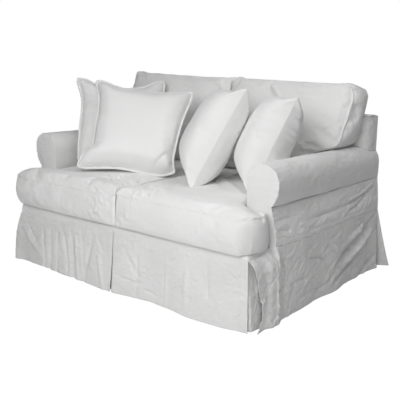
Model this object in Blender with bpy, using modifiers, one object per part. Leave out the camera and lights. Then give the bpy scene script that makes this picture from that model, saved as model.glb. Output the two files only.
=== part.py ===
"""Slipcover set for a two-seat sofa: a fitted body cover with a pleated skirt, four cushion covers
and four pillow covers. Metres, +Z up, front towards -Y, origin on the floor under the middle.

The body cover is an open shell in the shape that the sofa gives it. The sofa itself isn't here."""

import math

import bmesh
import bpy
from mathutils import Matrix, Vector

# Driving sizes
CLOTH = 0.0024  # the sewn cotton with its seam allowances
GAP = 0.0004  # air between pieces that meet
FRONT_Y = -0.540  # seam above the front of the skirt
BACK_Y = 0.540  # outside back
FACING_Y = -0.388  # fronts of the arms
EAR_X = 0.742  # half width of the base in front of the arms
SEAT_X = 0.6205  # half width between the arms
SIDE_X = 0.789  # half width at the seam above the side skirt
WING_X = 0.760  # half width of the back above the arms
DECK_Z = 0.331  # middle of the deck's thickness
BACK_TOP_Z = 0.8045  # top edge of the inside back
CENTRE_X = -0.034  # the pleat in the middle of the front
EAR_SEAM_Z = 0.320  # seam above the skirt where the base meets the arm's front
ARM_FOOT_X = 0.773  # half width at the foot of the arm's front
ARM_FLARE = 0.200  # behind it, over this length, the side reaches its full width
ARM_STEP = 0.050  # over this length behind the arm's front the side skirt turns from slack to taut
HEM_Z = 0.0012  # hem above the floor
STEP_CLEAR = 0.0035  # between the facing's foot and the seam that steps up under it

# Arm: an oval roll on an upright inside, with a seam under the roll on the outside
ROLL_X = 0.702
ROLL_HALF_WIDTH = 0.078
ROLL_RISE = 0.080
ROLL_Z = 0.600
ROLL_DROP = 0.033  # the arm's top is this much lower at the back
UNDER_ROLL = 0.115  # height of the oval's lower, outer quarter
UNDER_ROLL_ARC = 0.87  # length of that quarter's arc for each radian, of its height
UNDER_ROLL_TURN = (math.radians(57), math.radians(44))  # how far round it the seam lies, front and rear
TUCKED_UNDER = (1.0, 0.15)  # how far the quarter comes back in there, of the full oval's

# Inside back: (height, y) at its foot and at its top
BACK_FOOT = (0.3337, 0.357)
BACK_HEAD = (BACK_TOP_Z, 0.455)

WHITE_COTTON = (0.86, 0.86, 0.85, 1.0)
SHADED_COTTON = (0.80, 0.80, 0.79, 1.0)

# Seam above the skirt, along the front: x, height
FRONT_SEAM = ((-0.742, 0.268), (-0.034, 0.292), (0.742, 0.312))
# Seam above the skirt, along the side: y, height
SIDE_SEAM = ((-0.540, 0.312), (-0.400, 0.338), (0.000, 0.333), (0.540, 0.324))
# Line of the front hem: x, how far it stands out from the seam
FRONT_HEM = (
    (-0.800, 0.012),
    (-0.730, -0.002),
    (-0.620, 0.004),
    (-0.340, 0.021),
    (-0.060, 0.034),
    (-0.010, 0.034),
    (0.100, 0.018),
    (0.200, 0.004),
    (0.285, 0.010),
    (0.466, 0.032),
    (0.590, 0.026),
    (0.745, 0.001),
)
# Line of the side hem: y, x
SIDE_HEM = (
    (-0.522, 0.780),
    (-0.466, 0.776),
    (-0.425, 0.790),
    (-0.388, 0.794),
    (-0.330, 0.775),
    (-0.169, 0.779),
    (-0.033, 0.774),
    (0.110, 0.792),
    (0.250, 0.779),
    (0.360, 0.784),
    (0.455, 0.783),
    (0.554, 0.800),
)
# Front edge of the side skirt at each front corner: height, y
FLAP_EDGE = (
    (0.000, -0.522),
    (0.028, -0.499),
    (0.055, -0.480),
    (0.090, -0.483),
    (0.140, -0.499),
    (0.200, -0.517),
    (0.260, -0.531),
    (0.312, -0.538),
)
# Upright folds of the front skirt: x at the seam, x at the hem, half width, depth (+ stands out)
FRONT_FOLDS = (
    (-0.690, -0.640, 0.040, 0.007),
    (-0.499, -0.519, 0.030, -0.009),
    (-0.405, -0.362, 0.026, -0.008),
    (-0.345, -0.318, 0.024, -0.013),
    (-0.300, -0.275, 0.022, 0.011),
    (-0.190, -0.225, 0.036, -0.009),
    (-0.140, -0.085, 0.030, 0.007),
    (0.030, 0.120, 0.040, -0.007),
    (0.306, 0.301, 0.024, 0.010),
    (0.420, 0.430, 0.050, 0.004),
    (0.536, 0.537, 0.030, -0.007),
)
# Slanting folds of the side skirt: y and height of each end, half width, depth (+ stands out)
SIDE_FOLDS = (
    (0.140, 0.110, 0.540, 0.300, 0.030, -0.012),
    (0.200, 0.200, 0.520, 0.330, 0.030, 0.008),
    (0.080, 0.020, 0.300, 0.110, 0.028, -0.008),
    (0.360, 0.000, 0.520, 0.080, 0.028, -0.008),
    (-0.190, 0.050, 0.030, 0.060, 0.030, -0.006),
    (0.178, 0.330, 0.178, 0.190, 0.022, -0.006),
)
# Slanting folds of the outside of the arm, in the same columns
ARM_FOLDS = (
    (-0.200, 0.400, 0.540, 0.452, 0.022, -0.006),
    (0.160, 0.352, 0.520, 0.420, 0.020, -0.007),
    (-0.380, 0.440, -0.180, 0.415, 0.014, -0.003),
)
# Folds of the outside back: x and height of each end, half width, depth (+ stands out)
BACK_FOLDS = (
    (-0.620, 0.350, -0.200, 0.520, 0.045, -0.005),
    (0.150, 0.380, 0.640, 0.480, 0.045, -0.005),
    (-0.300, 0.700, 0.350, 0.740, 0.040, 0.004),
)


def along(table, key, column=1):
    """The value in a table's column at key, eased between its rows."""
    if key <= table[0][0]:
        return table[0][column]
    for low, high in zip(table, table[1:]):
        if key <= high[0]:
            t = (key - low[0]) / (high[0] - low[0])
            t = t * t * (3 - 2 * t)
            return low[column] + (high[column] - low[column]) * t
    return table[-1][column]


def lerp(a, b, t):
    return a + (b - a) * t


def bump(distance, half_width):
    """1 on a fold's line, 0 from its half width outwards."""
    if abs(distance) >= half_width:
        return 0.0
    return 0.5 + 0.5 * math.cos(math.pi * distance / half_width)


def slanting(folds, p, q):
    """How far the folds of a table move the cloth at (p, q). Each fold fades out over its ends."""
    out = 0.0
    for p0, q0, p1, q1, half_width, depth in folds:
        line = Vector((p1 - p0, q1 - q0))
        reach = line.length
        line /= reach
        place = Vector((p - p0, q - q0))
        t = place.dot(line) / reach
        fade = 1.0 if 0.15 < t < 0.85 else max(0.0, 1 - max(0.15 - t, t - 0.85) / 0.3)
        out += depth * fade * bump(line.x * place.y - line.y * place.x, half_width)
    return out


class Route:
    """A run of straight lines with round corners, in plan, read by its share of the length."""

    def __init__(self, corners, radius, steps=6):
        self.points = [Vector(corners[0])]
        for before, corner, after in zip(corners, corners[1:], corners[2:]):
            corner = Vector(corner)
            back = (Vector(before) - corner).normalized()
            on = (Vector(after) - corner).normalized()
            for i in range(steps + 1):
                t = i / steps
                start = corner + back * radius
                end = corner + on * radius
                self.points.append((1 - t) ** 2 * start + 2 * t * (1 - t) * corner + t * t * end)
        self.points.append(Vector(corners[-1]))
        self.marks = [0.0]
        for a, b in zip(self.points, self.points[1:]):
            self.marks.append(self.marks[-1] + (b - a).length)

    def at(self, share):
        want = share * self.marks[-1]
        for i, (low, high) in enumerate(zip(self.marks, self.marks[1:])):
            if want <= high + 1e-9:
                t = (want - low) / (high - low)
                return self.points[i].lerp(self.points[i + 1], t)
        return self.points[-1].copy()


def seam_under_ear(side, y):
    """Height of the seam above the skirt on the side of the base, in front of the arm."""
    share = (y - FRONT_Y) / (FACING_Y - FRONT_Y)
    return lerp(along(FRONT_SEAM, side * EAR_X), EAR_SEAM_Z, min(1.0, max(0.0, share)))


def cotton(name, colour):
    material = bpy.data.materials.new(name)
    material.use_nodes = True
    shader = material.node_tree.nodes["Principled BSDF"]
    shader.inputs["Base Color"].default_value = colour
    shader.inputs["Roughness"].default_value = 0.9
    shader.inputs["Metallic"].default_value = 0.0
    material.diffuse_color = colour
    return material


def place(name, data, colour=WHITE_COTTON):
    """Puts a mesh or a curve in the part's collection as the node of that name."""
    thing = bpy.data.objects.new(name, data)
    thing.data.materials.append(cotton(name, colour))
    COVER.objects.link(thing)
    return thing


def sheet(name, surface, columns, rows):
    """A panel of cloth: a grid moved to surface(u, v), u and v from 0 to 1, given its thickness."""
    mesh = bpy.data.meshes.new(name)
    bm = bmesh.new()
    bmesh.ops.create_grid(bm, x_segments=columns, y_segments=rows, size=0.5)
    for vert in bm.verts:
        vert.co = surface(vert.co.x + 0.5, vert.co.y + 0.5)
    bm.to_mesh(mesh)
    bm.free()
    mesh.shade_smooth()
    panel = place(name, mesh, SHADED_COTTON)
    thick = panel.modifiers.new("cloth", "SOLIDIFY")
    thick.thickness = CLOTH
    thick.offset = 0.0
    thick.use_even_offset = True
    return panel


def flat_panel(name, outline, matrix):
    """A flat panel of cloth: an outline in its own plane, put in place by a matrix."""
    curve = bpy.data.curves.new(name, "CURVE")
    curve.dimensions = "2D"
    curve.fill_mode = "BOTH"
    curve.extrude = CLOTH / 2
    spline = curve.splines.new("POLY")
    spline.points.add(len(outline) - 1)
    for point, (x, y) in zip(spline.points, outline):
        point.co = (x, y, 0, 1)
    spline.use_cyclic_u = True
    panel = place(name, curve, SHADED_COTTON)
    panel.matrix_world = matrix
    return panel


def filled(name, form, columns, rows):
    """A filled cover: a box of columns by rows with a ring round its middle, moved to form(a, b, c).

    a, b and c run from -1 to 1, and c is through the thickness."""
    mesh = bpy.data.meshes.new(name)
    bm = bmesh.new()
    bmesh.ops.create_grid(bm, x_segments=columns, y_segments=rows, size=1.0)
    for vert in bm.verts:
        vert.co.z = -1
    top = bmesh.ops.extrude_face_region(bm, geom=bm.faces[:])["geom"]
    for vert in top:
        if isinstance(vert, bmesh.types.BMVert):
            vert.co.z = 1
    middle = {"plane_co": (0, 0, 0), "plane_no": (0, 0, 1)}
    bmesh.ops.bisect_plane(bm, geom=bm.verts[:] + bm.edges[:] + bm.faces[:], **middle)
    for vert in bm.verts:
        vert.co = form(*(round(value, 6) for value in vert.co))
    bmesh.ops.recalc_face_normals(bm, faces=bm.faces)
    bm.to_mesh(mesh)
    bm.free()
    mesh.shade_smooth()
    return place(name, mesh)


# ---- arm ----


def share_of_arm(y):
    """0 at the arm's front, 1 at its rear end."""
    return min(1.0, max(0.0, (y - FACING_Y) / (BACK_Y - FACING_Y)))


def roll_z(y):
    """Height of the middle of the arm's roll, lower towards the back."""
    return ROLL_Z - ROLL_DROP * share_of_arm(y)


def under_roll_x(turn, y):
    """x on the oval's lower, outer quarter."""
    tucked = (1 - math.cos(turn)) * lerp(*TUCKED_UNDER, share_of_arm(y) ** 1.3)
    return ROLL_X + ROLL_HALF_WIDTH * (1 - tucked)


def roll_top(x, y, clear):
    """Height that clears the roll's upper surface, or its middle height beside it."""
    across = min(1.0, abs((abs(x) - ROLL_X) / (ROLL_HALF_WIDTH + clear)))
    return roll_z(y) + (ROLL_RISE + clear) * math.sqrt(1 - across * across)


def sleeve_section(v, y, foot=BACK_FOOT[0]):
    """(x, height) on the arm: v 0 at the deck inside, 1 at the seam under the roll outside."""
    middle = roll_z(y)
    upright = middle - foot
    over = math.pi * ROLL_HALF_WIDTH
    seam_turn = lerp(*UNDER_ROLL_TURN, share_of_arm(y) ** 1.3)
    under = seam_turn * UNDER_ROLL * UNDER_ROLL_ARC
    way = v * (upright + over + under)
    if way <= upright:
        return ROLL_X - ROLL_HALF_WIDTH, foot + way
    if way <= upright + over:
        turn = math.pi * (way - upright) / over
        return ROLL_X - ROLL_HALF_WIDTH * math.cos(turn), middle + ROLL_RISE * math.sin(turn)
    turn = seam_turn * (way - upright - over) / under
    return under_roll_x(turn, y), middle - UNDER_ROLL * math.sin(turn)


def outer_section(v, y):
    """(x, height) on the outside of the arm: v 0 at the seam under the roll, 1 at the skirt."""
    top_x, top_z = sleeve_section(1.0, y)
    foot_x = lerp(ARM_FOOT_X, SIDE_X, min(1.0, max(0.0, (y - FACING_Y) / ARM_FLARE)))
    foot_z = along(SIDE_SEAM, y) + CLOTH / 2 + GAP
    x = lerp(top_x, foot_x, math.sin(v * math.pi / 2))
    return x, lerp(top_z - CLOTH - GAP, foot_z, v)


def arm(side, hand):
    front = FACING_Y + CLOTH / 2 + GAP
    back = BACK_Y - CLOTH / 2 - GAP

    def sleeve(u, v):
        y = lerp(front, back, u)
        x, z = sleeve_section(v, y)
        return side * x, y, z

    def outside(u, v):
        y = lerp(front, back, u)
        x, z = outer_section(v, y)
        return side * (x + slanting(ARM_FOLDS, y, z) * math.sin(v * math.pi)), y, z

    sheet(f"arm_sleeve_{hand}", sleeve, 6, 14)
    sheet(f"arm_outer_{hand}", outside, 10, 4)

    upper = [sleeve_section(0.0, FACING_Y)]
    upper += [sleeve_section(lerp(0.42, 1.0, i / 14), FACING_Y) for i in range(15)]
    lower = [outer_section(i / 4, FACING_Y) for i in range(1, 5)]
    outline = [(side * x, z) for x, z in upper + lower]
    beside_base = side * (EAR_X + 0.003)
    outline.append((beside_base + side * 0.002, EAR_SEAM_Z + STEP_CLEAR))
    outline.append((beside_base, EAR_SEAM_Z + STEP_CLEAR))
    outline.append((beside_base, BACK_FOOT[0]))
    upright = Matrix.Translation((0, FACING_Y, 0)) @ Matrix.Rotation(math.radians(90), 4, "X")
    flat_panel(f"arm_facing_{hand}", outline, upright)


# ---- seat base ----


def base():
    edge = CLOTH / 2
    half = (
        (EAR_X + edge, FRONT_Y - edge),
        (EAR_X + edge, FACING_Y + edge),
        (SEAT_X, FACING_Y + edge),
        (SEAT_X, BACK_FOOT[1] - edge - GAP),
    )
    outline = list(half) + [(-x, y) for x, y in reversed(half)]
    flat_panel("deck", outline, Matrix.Translation((0, 0, DECK_Z)))

    end = FACING_Y - edge - GAP
    route = Route(((-EAR_X, end), (-EAR_X, FRONT_Y), (EAR_X, FRONT_Y), (EAR_X, end)), 0.012)
    top = DECK_Z - CLOTH / 2 - GAP

    def band(u, v):
        x, y = route.at(u)
        foot = along(FRONT_SEAM, x)
        if abs(x) > EAR_X - 0.001:
            foot = seam_under_ear(math.copysign(1, x), y)
        return x, y, lerp(foot + GAP, top, v)

    sheet("front_band", band, 40, 1)


# ---- back ----


def back_y(z):
    """y of the inside back, which leans."""
    share = (z - BACK_FOOT[0]) / (BACK_HEAD[0] - BACK_FOOT[0])
    return lerp(BACK_FOOT[1], BACK_HEAD[1], share)


def head_z(y):
    """Height of the middle of the strip over the back."""
    share = (y - BACK_HEAD[1]) / (BACK_Y - BACK_HEAD[1])
    share = min(1.0, max(0.0, share))
    return BACK_TOP_Z + CLOTH / 2 + GAP - 0.010 * share + 0.005 * math.sin(math.pi * share)


def back():
    head_gap = CLOTH / 2 + GAP

    def inside(u, v):
        z = lerp(BACK_FOOT[0], BACK_TOP_Z, v)
        x = lerp(-SEAT_X, SEAT_X, u)
        return x, back_y(z), z

    sheet("inside_back", inside, 8, 3)

    pinch_x, pinch_z = sleeve_section(1.0, BACK_Y)
    foot = along(SIDE_SEAM, BACK_Y) + CLOTH / 2 + GAP

    def outer_edge(z):
        if z < pinch_z:
            share = (pinch_z - z) / (pinch_z - foot)
            return lerp(pinch_x, SIDE_X, math.sin(share * math.pi / 2))
        if z < roll_z(BACK_Y):
            turn = math.asin(min(1.0, (roll_z(BACK_Y) - z) / UNDER_ROLL))
            return under_roll_x(turn, BACK_Y)
        rise = min(1.0, (z - roll_z(BACK_Y)) / ROLL_RISE)
        return max(WING_X, ROLL_X + ROLL_HALF_WIDTH * math.sqrt(1 - rise * rise))

    def outside(u, v):
        z = lerp(foot, head_z(BACK_Y) - head_gap, v)
        x = lerp(-1, 1, u) * (outer_edge(z) + CLOTH / 2)
        inner = max(0.0, 1 - (x / SEAT_X) ** 4)
        y = BACK_Y + slanting(BACK_FOLDS, x, z) * inner * math.sin(math.pi * v)
        return x, y, z

    sheet("outside_back", outside, 10, 8)

    end = WING_X + CLOTH / 2

    def head(u, v):
        x = lerp(-end, end, u)
        y = lerp(BACK_HEAD[1] - CLOTH / 2, BACK_Y + CLOTH / 2, v)
        return x, y, head_z(y)

    sheet("back_top", head, 14, 4)

    rear = BACK_Y - CLOTH / 2 - GAP
    start = BACK_HEAD[1]
    route = Route(((SEAT_X + 0.0015, start), (WING_X, start), (WING_X, rear)), 0.018)

    def wing(u, v, side):
        x, y = route.at(u)
        share = (y - start) / (rear - start)
        foot_y = lerp(back_y(ROLL_Z), rear, share)
        foot = roll_top(x, foot_y, 2 * CLOTH)
        z = lerp(foot, head_z(y) - head_gap - GAP / 2, v)
        return side * x, lerp(back_y(z), rear, share), z

    sheet("back_wing_L", lambda u, v: wing(u, v, -1), 10, 2)
    sheet("back_wing_R", lambda u, v: wing(u, v, 1), 10, 2)


# ---- skirt ----


def front_skirt(hand, top_from, top_to, hem_from, hem_to, spread):
    """spread: above 1 an end soon leaves the seam's width and below 1 late, left end and right end."""

    def panel(u, v):
        top_x = lerp(top_from, top_to, u)
        hem_x = lerp(hem_from, hem_to, u)
        x = lerp(hem_x, top_x, v ** lerp(*spread, u))
        z = lerp(HEM_Z, along(FRONT_SEAM, top_x) - GAP, v)
        hang = (1 - v) ** 1.3
        folds = 0.0
        for fold_top, fold_hem, half_width, depth in FRONT_FOLDS:
            folds += depth * bump(x - lerp(fold_hem, fold_top, v), half_width)
        out = along(FRONT_HEM, hem_x) * hang + folds * min(1.0, (1 - v) * 2.2)
        return x, FRONT_Y - out, z

    sheet(f"skirt_front_{hand}", panel, 26, 4)


def side_skirt(side, hand):
    top = Route(
        (
            (EAR_X, FRONT_Y + 0.002),
            (EAR_X, FACING_Y),
            (ARM_FOOT_X, FACING_Y),
            (SIDE_X, FACING_Y + ARM_FLARE),
            (SIDE_X, BACK_Y - CLOTH / 2 - GAP),
        ),
        0.005,
    )
    slack = 0.0 if side > 0 else -0.010  # the left corner hangs a little more slackly
    step_from = EAR_X + 0.003

    def panel(u, v):
        share = u * (0.45 + 0.55 * u)  # closer columns towards the front
        top_x, top_y = top.at(share)
        hem_y = lerp(FLAP_EDGE[0][1], 0.552, share)
        edge = along(FLAP_EDGE, v * FLAP_EDGE[-1][0]) - lerp(FLAP_EDGE[0][1], top.at(0)[1], v)
        y = lerp(hem_y, top_y, v) + edge * max(0.0, 1 - u / 0.3) ** 2
        hem_x = along(SIDE_HEM, y) + slack * (1 - u)
        beside = along(SIDE_SEAM, top_y) - CLOTH / 2
        onto_arm = min(1.0, max(0.0, (top_x - step_from) / (ARM_FOOT_X - step_from)))
        z_top = lerp(seam_under_ear(side, top_y), beside, onto_arm) - GAP
        z = lerp(HEM_Z, z_top, v)
        out = slanting(SIDE_FOLDS, y, z) * min(1.0, (1 - v) * 2.2)
        spread = lerp(3.0, 0.8, min(1.0, max(0.0, (top_y - FACING_Y) / ARM_STEP)))
        return side * (lerp(hem_x, top_x, v**spread) + out), y, z

    sheet(f"skirt_side_{hand}", panel, 28, 4)


def back_skirt():
    hem_half = 0.800
    flare_from = 0.80  # the ends fly outwards past this share of the half width
    flare_out = 0.058
    flare_up = 0.020

    def panel(u, v):
        a = lerp(-1, 1, u)
        top_x = a * (SIDE_X + CLOTH / 2)
        flare = max(0.0, (abs(a) - flare_from) / (1 - flare_from))
        hem_x = a * hem_half + math.copysign(flare_out * flare, a)
        z = lerp(HEM_Z + flare_up * flare**2, along(SIDE_SEAM, BACK_Y) - CLOTH / 2 - GAP, v)
        hang = (1 - v) ** 1.1
        wave = 0.008 * math.sin(a * 9.0 + 0.7) + 0.005 * math.sin(a * 17.0)
        out = (0.018 + wave * (1 - flare) + 0.014 * flare) * hang
        return lerp(hem_x, top_x, v**0.9), BACK_Y + out, z

    sheet("skirt_back", panel, 26, 3)


def pleats():
    """The pieces behind the openings of the skirt: one in the middle, one at each front corner."""
    inset = 0.0056

    def middle(u, v):
        x = lerp(-0.105, 0.035, u)
        z = lerp(HEM_Z + 0.001, along(FRONT_SEAM, x) - 0.004, v)
        return x, FRONT_Y + 2 * inset - 0.020 * (1 - v), z

    sheet("pleat_centre", middle, 5, 3)

    for side, hand in ((-1, "L"), (1, "R")):
        corner = Route(
            (
                (EAR_X - 0.080, FRONT_Y + inset),
                (EAR_X - 0.032, FRONT_Y + inset),
                (EAR_X - inset, FRONT_Y + 0.062),
                (EAR_X - inset, FRONT_Y + 0.112),
            ),
            0.006,
        )

        def piece(u, v, side=side, corner=corner):
            x, y = corner.at(u)
            z = lerp(HEM_Z + 0.006, along(FRONT_SEAM, side * EAR_X) - 0.004, v)
            spread = 0.024 * (1 - v) ** 0.7 * min(1.0, max(0.0, (u - 0.28) / 0.30))
            pulled = 0.010 * (1 - v) * (1 if side < 0 else 0.3)
            return side * (x + spread - pulled), y + pulled, z

        sheet(f"pleat_corner_{hand}", piece, 10, 3)


# ---- cushions ----

# Seat cushion: y, half width of the T there, height of the underside, of the top seam
SEAT_ROWS = (
    (-0.558, 0.742, 0.3262, 0.482),
    (-0.5435, 0.755, 0.3340, 0.487),
    (-0.500, 0.757, 0.3340, 0.487),
    (-0.448, 0.756, 0.3340, 0.486),
    (-0.405, 0.748, 0.3340, 0.484),
    (-0.393, 0.611, 0.3340, 0.486),
    (-0.250, 0.612, 0.3340, 0.487),
    (-0.050, 0.612, 0.3340, 0.486),
    (0.150, 0.612, 0.3340, 0.480),
    (0.340, 0.606, 0.3340, 0.470),
)
SEAT_SPLIT = -0.010
SEAT_CROWN = 0.017
SEAT_OVERHANG = {"L": 0.022, "R": 0.0}  # how far more the end in front of the arm stands out

# Back cushion: height and y of the front edge, height and y of the back edge, half width of the T
BACK_ROWS = (
    (0.5020, 0.158, 0.5020, 0.330, 0.590),
    (0.5450, 0.166, 0.5450, 0.354, 0.608),
    (0.6440, 0.194, 0.6440, 0.380, 0.610),
    (0.6760, 0.208, 0.6740, 0.386, 0.728),
    (0.7600, 0.250, 0.7600, 0.418, 0.737),
    (0.8500, 0.300, 0.8500, 0.455, 0.738),
    (0.9150, 0.334, 0.9050, 0.474, 0.733),
    (0.9600, 0.352, 0.9330, 0.478, 0.700),
)
BACK_SPLIT = 0.002
BACK_CROWN = 0.036
BACK_LIFT = {"L": 0.014, "R": 0.009}  # how much higher the top of each is than the table's


def row_of(table, b):
    """The row of a cushion's table that b, from -1 to 1, stands for."""
    return table[round((b + 1) / 2 * (len(table) - 1))]


def crown(a, b):
    return (1 - a**4) * (1 - b**4)


def seat_cushion(side, hand):
    inner = abs(SEAT_SPLIT + side * 0.0012) * (1 if side * SEAT_SPLIT > 0 else -1)

    def form(a, b, c):
        y, outer, under, seam = row_of(SEAT_ROWS, b)
        if outer > SEAT_X and c >= 0:
            outer += SEAT_OVERHANG[hand]
        share = (a + 1) / 2
        x = lerp(inner, outer, share)
        bulge = 1 - abs(c)
        if b == -1:
            y -= 0.009 * bulge * (1 - a**6)
            y += 0.013 * max(0.0, abs(a) - 0.7) / 0.3
        if a == 1:
            x += 0.006 * bulge if outer > SEAT_X else 0.002 * bulge
        if c > 0:
            z = seam + SEAT_CROWN * crown(a, b)
        elif c < 0:
            z = under
        else:
            z = (seam + under) / 2
        return side * x, y, z

    filled(f"seat_cushion_{hand}", form, 10, len(SEAT_ROWS) - 1)


def back_cushion(side, hand, lift):
    inner = BACK_SPLIT + 0.0012

    def form(a, b, c):
        front_z, front_y, back_z, back_edge_y, outer = row_of(BACK_ROWS, b)
        share = (a + 1) / 2
        x = lerp(inner, outer, share)
        rise = lift * max(0.0, b)
        if c > 0:
            place_y, z = front_y - BACK_CROWN * crown(a, b), front_z
        elif c < 0:
            place_y, z = back_edge_y, back_z
        else:
            place_y, z = (front_y + back_edge_y) / 2, (front_z + back_z) / 2
            z += 0.016 if b == 1 else 0.0
            x += 0.004 if a == 1 and outer > SEAT_X else 0.0
        if b == 1:
            z -= 0.012 * max(0.0, abs(a) - 0.6) / 0.4
        return side * x, place_y, z + rise

    filled(f"back_cushion_{hand}", form, 9, len(BACK_ROWS) - 1)


# Pillows: number, middle (x, y, z), turn, lean back, roll in degrees, half side, thickness, piped
PILLOWS = (
    (1, (-0.473, -0.038, 0.738), 52.5, -35.4, 4.1, 0.250, 0.130, True),
    (2, (-0.255, -0.152, 0.733), 37.5, -40.5, 5.5, 0.258, 0.150, True),
    (3, (0.203, -0.073, 0.731), -48.0, -29.0, 0.0, 0.244, 0.186, False),
    (4, (0.482, -0.026, 0.730), -50.0, -24.5, 0.0, 0.244, 0.186, False),
)
PILLOW_EDGE = 0.010  # thickness where the two panels meet
PILLOW_DRAWN = 0.055  # how far the sides are drawn in between the corners, of the half side
PIPING_RADIUS = 0.0064


def pillow_outline(a, b, half):
    """Place in the pillow's own plane: sides drawn in between the corners."""
    x = a * half * (1 - PILLOW_DRAWN * (1 - b * b) * a * a)
    z = b * half * (1 - PILLOW_DRAWN * (1 - a * a) * b * b)
    return x, z


def pillow(number, middle, turn, lean, roll, half, thickness, piped):
    """The pillow's plane is upright and faces -Y before it is rolled, leant back and turned."""
    pose = Matrix.Translation(middle) @ Matrix.Rotation(math.radians(turn), 4, "Z")
    pose = pose @ Matrix.Rotation(math.radians(lean), 4, "X")
    pose = pose @ Matrix.Rotation(math.radians(roll), 4, "Y")

    def form(a, b, c):
        a = math.sin(a * math.pi / 2)
        b = math.sin(b * math.pi / 2)
        x, z = pillow_outline(a, b, half - (PILLOW_EDGE * 0.3 if c else 0.0))
        full = math.sqrt(max(0.0, (1 - a**4) * (1 - b**4)))
        y = -c * (PILLOW_EDGE / 2 + (thickness - PILLOW_EDGE) / 2 * full)
        return pose @ Vector((x, y, z))

    filled(f"pillow_{number}", form, 8, 8)

    if piped:
        steps = 9
        away = half + PIPING_RADIUS + GAP + 0.0006
        ring = []
        for i in range(4 * steps):
            t = math.sin((i % steps / steps * 2 - 1) * math.pi / 2)
            a, b = ((t, -1), (1, t), (-t, 1), (-1, -t))[i // steps]
            x, z = pillow_outline(a, b, away)
            ring.append(pose @ Vector((x, 0, z)))
        cord = bpy.data.curves.new(f"piping_{number}", "CURVE")
        cord.dimensions = "3D"
        cord.bevel_depth = PIPING_RADIUS
        cord.bevel_resolution = 1
        spline = cord.splines.new("POLY")
        spline.points.add(len(ring) - 1)
        for point, place_at in zip(spline.points, ring):
            point.co = (*place_at, 1)
        spline.use_cyclic_u = True
        place(f"piping_{number}", cord)


for old in list(bpy.data.objects):
    bpy.data.objects.remove(old, do_unlink=True)
COVER = bpy.data.collections.new("sofa_slipcover")
bpy.context.scene.collection.children.link(COVER)

base()
back()
for side, hand in ((-1, "L"), (1, "R")):
    arm(side, hand)
    side_skirt(side, hand)
    seat_cushion(side, hand)
    back_cushion(side, hand, BACK_LIFT[hand])
front_skirt("L", -EAR_X, CENTRE_X - 0.0012, -0.803, CENTRE_X - 0.003, (2.6, 1.0))
front_skirt("R", CENTRE_X + 0.0012, EAR_X, CENTRE_X + 0.012, EAR_X + 0.003, (0.6, 1.0))
back_skirt()
pleats()
for row in PILLOWS:
    pillow(*row)
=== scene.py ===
import math

import bmesh
import bpy
import numpy as np
from mathutils import Matrix, Vector


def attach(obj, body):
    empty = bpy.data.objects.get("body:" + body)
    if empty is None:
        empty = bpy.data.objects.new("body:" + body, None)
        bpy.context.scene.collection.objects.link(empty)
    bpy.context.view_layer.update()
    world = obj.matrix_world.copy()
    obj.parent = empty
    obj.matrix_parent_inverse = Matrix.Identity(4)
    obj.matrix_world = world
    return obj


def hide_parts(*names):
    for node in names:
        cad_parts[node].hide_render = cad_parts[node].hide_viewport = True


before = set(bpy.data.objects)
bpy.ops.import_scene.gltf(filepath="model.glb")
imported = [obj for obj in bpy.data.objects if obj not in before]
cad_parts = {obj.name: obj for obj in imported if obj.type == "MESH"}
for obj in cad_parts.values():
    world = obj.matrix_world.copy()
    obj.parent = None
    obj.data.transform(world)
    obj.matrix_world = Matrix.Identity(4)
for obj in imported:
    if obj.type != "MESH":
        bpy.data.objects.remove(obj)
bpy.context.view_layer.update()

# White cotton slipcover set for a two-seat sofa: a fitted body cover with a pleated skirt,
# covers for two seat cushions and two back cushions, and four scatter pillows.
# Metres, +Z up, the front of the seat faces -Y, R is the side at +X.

print("frame loaded:", len(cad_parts), "nodes")

# sizes that the pieces share
cover = {
    "thickness": 0.0022,
    "gap": 0.0004,  # air between pieces that meet
    "frontY": -0.540,  # seam above the front of the skirt
    "backY": 0.540,
    "facingY": -0.388,  # fronts of the arms
    "earX": 0.742,  # half width in front of the arms
    "seatX": 0.6205,  # half width between the arms
    "cushionX": 0.6175,  # the cushions stay within it there
    "sideX": 0.789,  # half width at the seam above the side skirt
    "wingX": 0.760,  # half width of the back above the arms
    "deckZ": 0.331,
    "backTopZ": 0.8045,
    "hemZ": 0.0012,
    "allowance": 0.005,  # how far the cloth turns in at a seam
    "crisp": 0.0012,  # how narrow its bend is there
    "armFootX": 0.773,
    "armFlare": 0.200,  # behind its front the arm's foot reaches its full width over this length
    "backFoot": (0.3337, 0.357),  # height and y of the inside back's foot
    "backHead": (0.8045, 0.455),  # and of its top
    "softFront": 0.010,  # how far the seat's front edge is rounded off under the cushions
    "softRows": (-0.510, -0.420),  # between these y it fades out towards the arms
}
# seams and hems are in millimetres
frontSeam = [(-742, 268), (-34, 292), (742, 312)]  # x, height above the front skirt
sideSeam = [(-540, 312), (-400, 338), (0, 333), (540, 324)]  # y, height
half = cover["thickness"] / 2
gap = cover["gap"]


# ways of shaping cloth


def mix(a, b, t):
    return a + (b - a) * t


def eased(t):
    t = np.clip(t, 0.0, 1.0)
    return t * t * (3 - 2 * t)


def along(table, key):
    # a value in metres from a table in millimetres, eased between its rows
    rows = np.array(table) / 1000
    spot = np.clip(np.searchsorted(rows[:, 0], key, side="right") - 1, 0, len(rows) - 2)
    low, high = rows[spot], rows[spot + 1]
    share = eased((key - low[..., 0]) / (high[..., 0] - low[..., 0]))
    return mix(low[..., 1], high[..., 1], share)


def lengthsAlong(points):
    # how far each point lies along a line
    return np.append(0.0, np.cumsum(np.linalg.norm(np.diff(points, axis=0), axis=1)))


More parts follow.
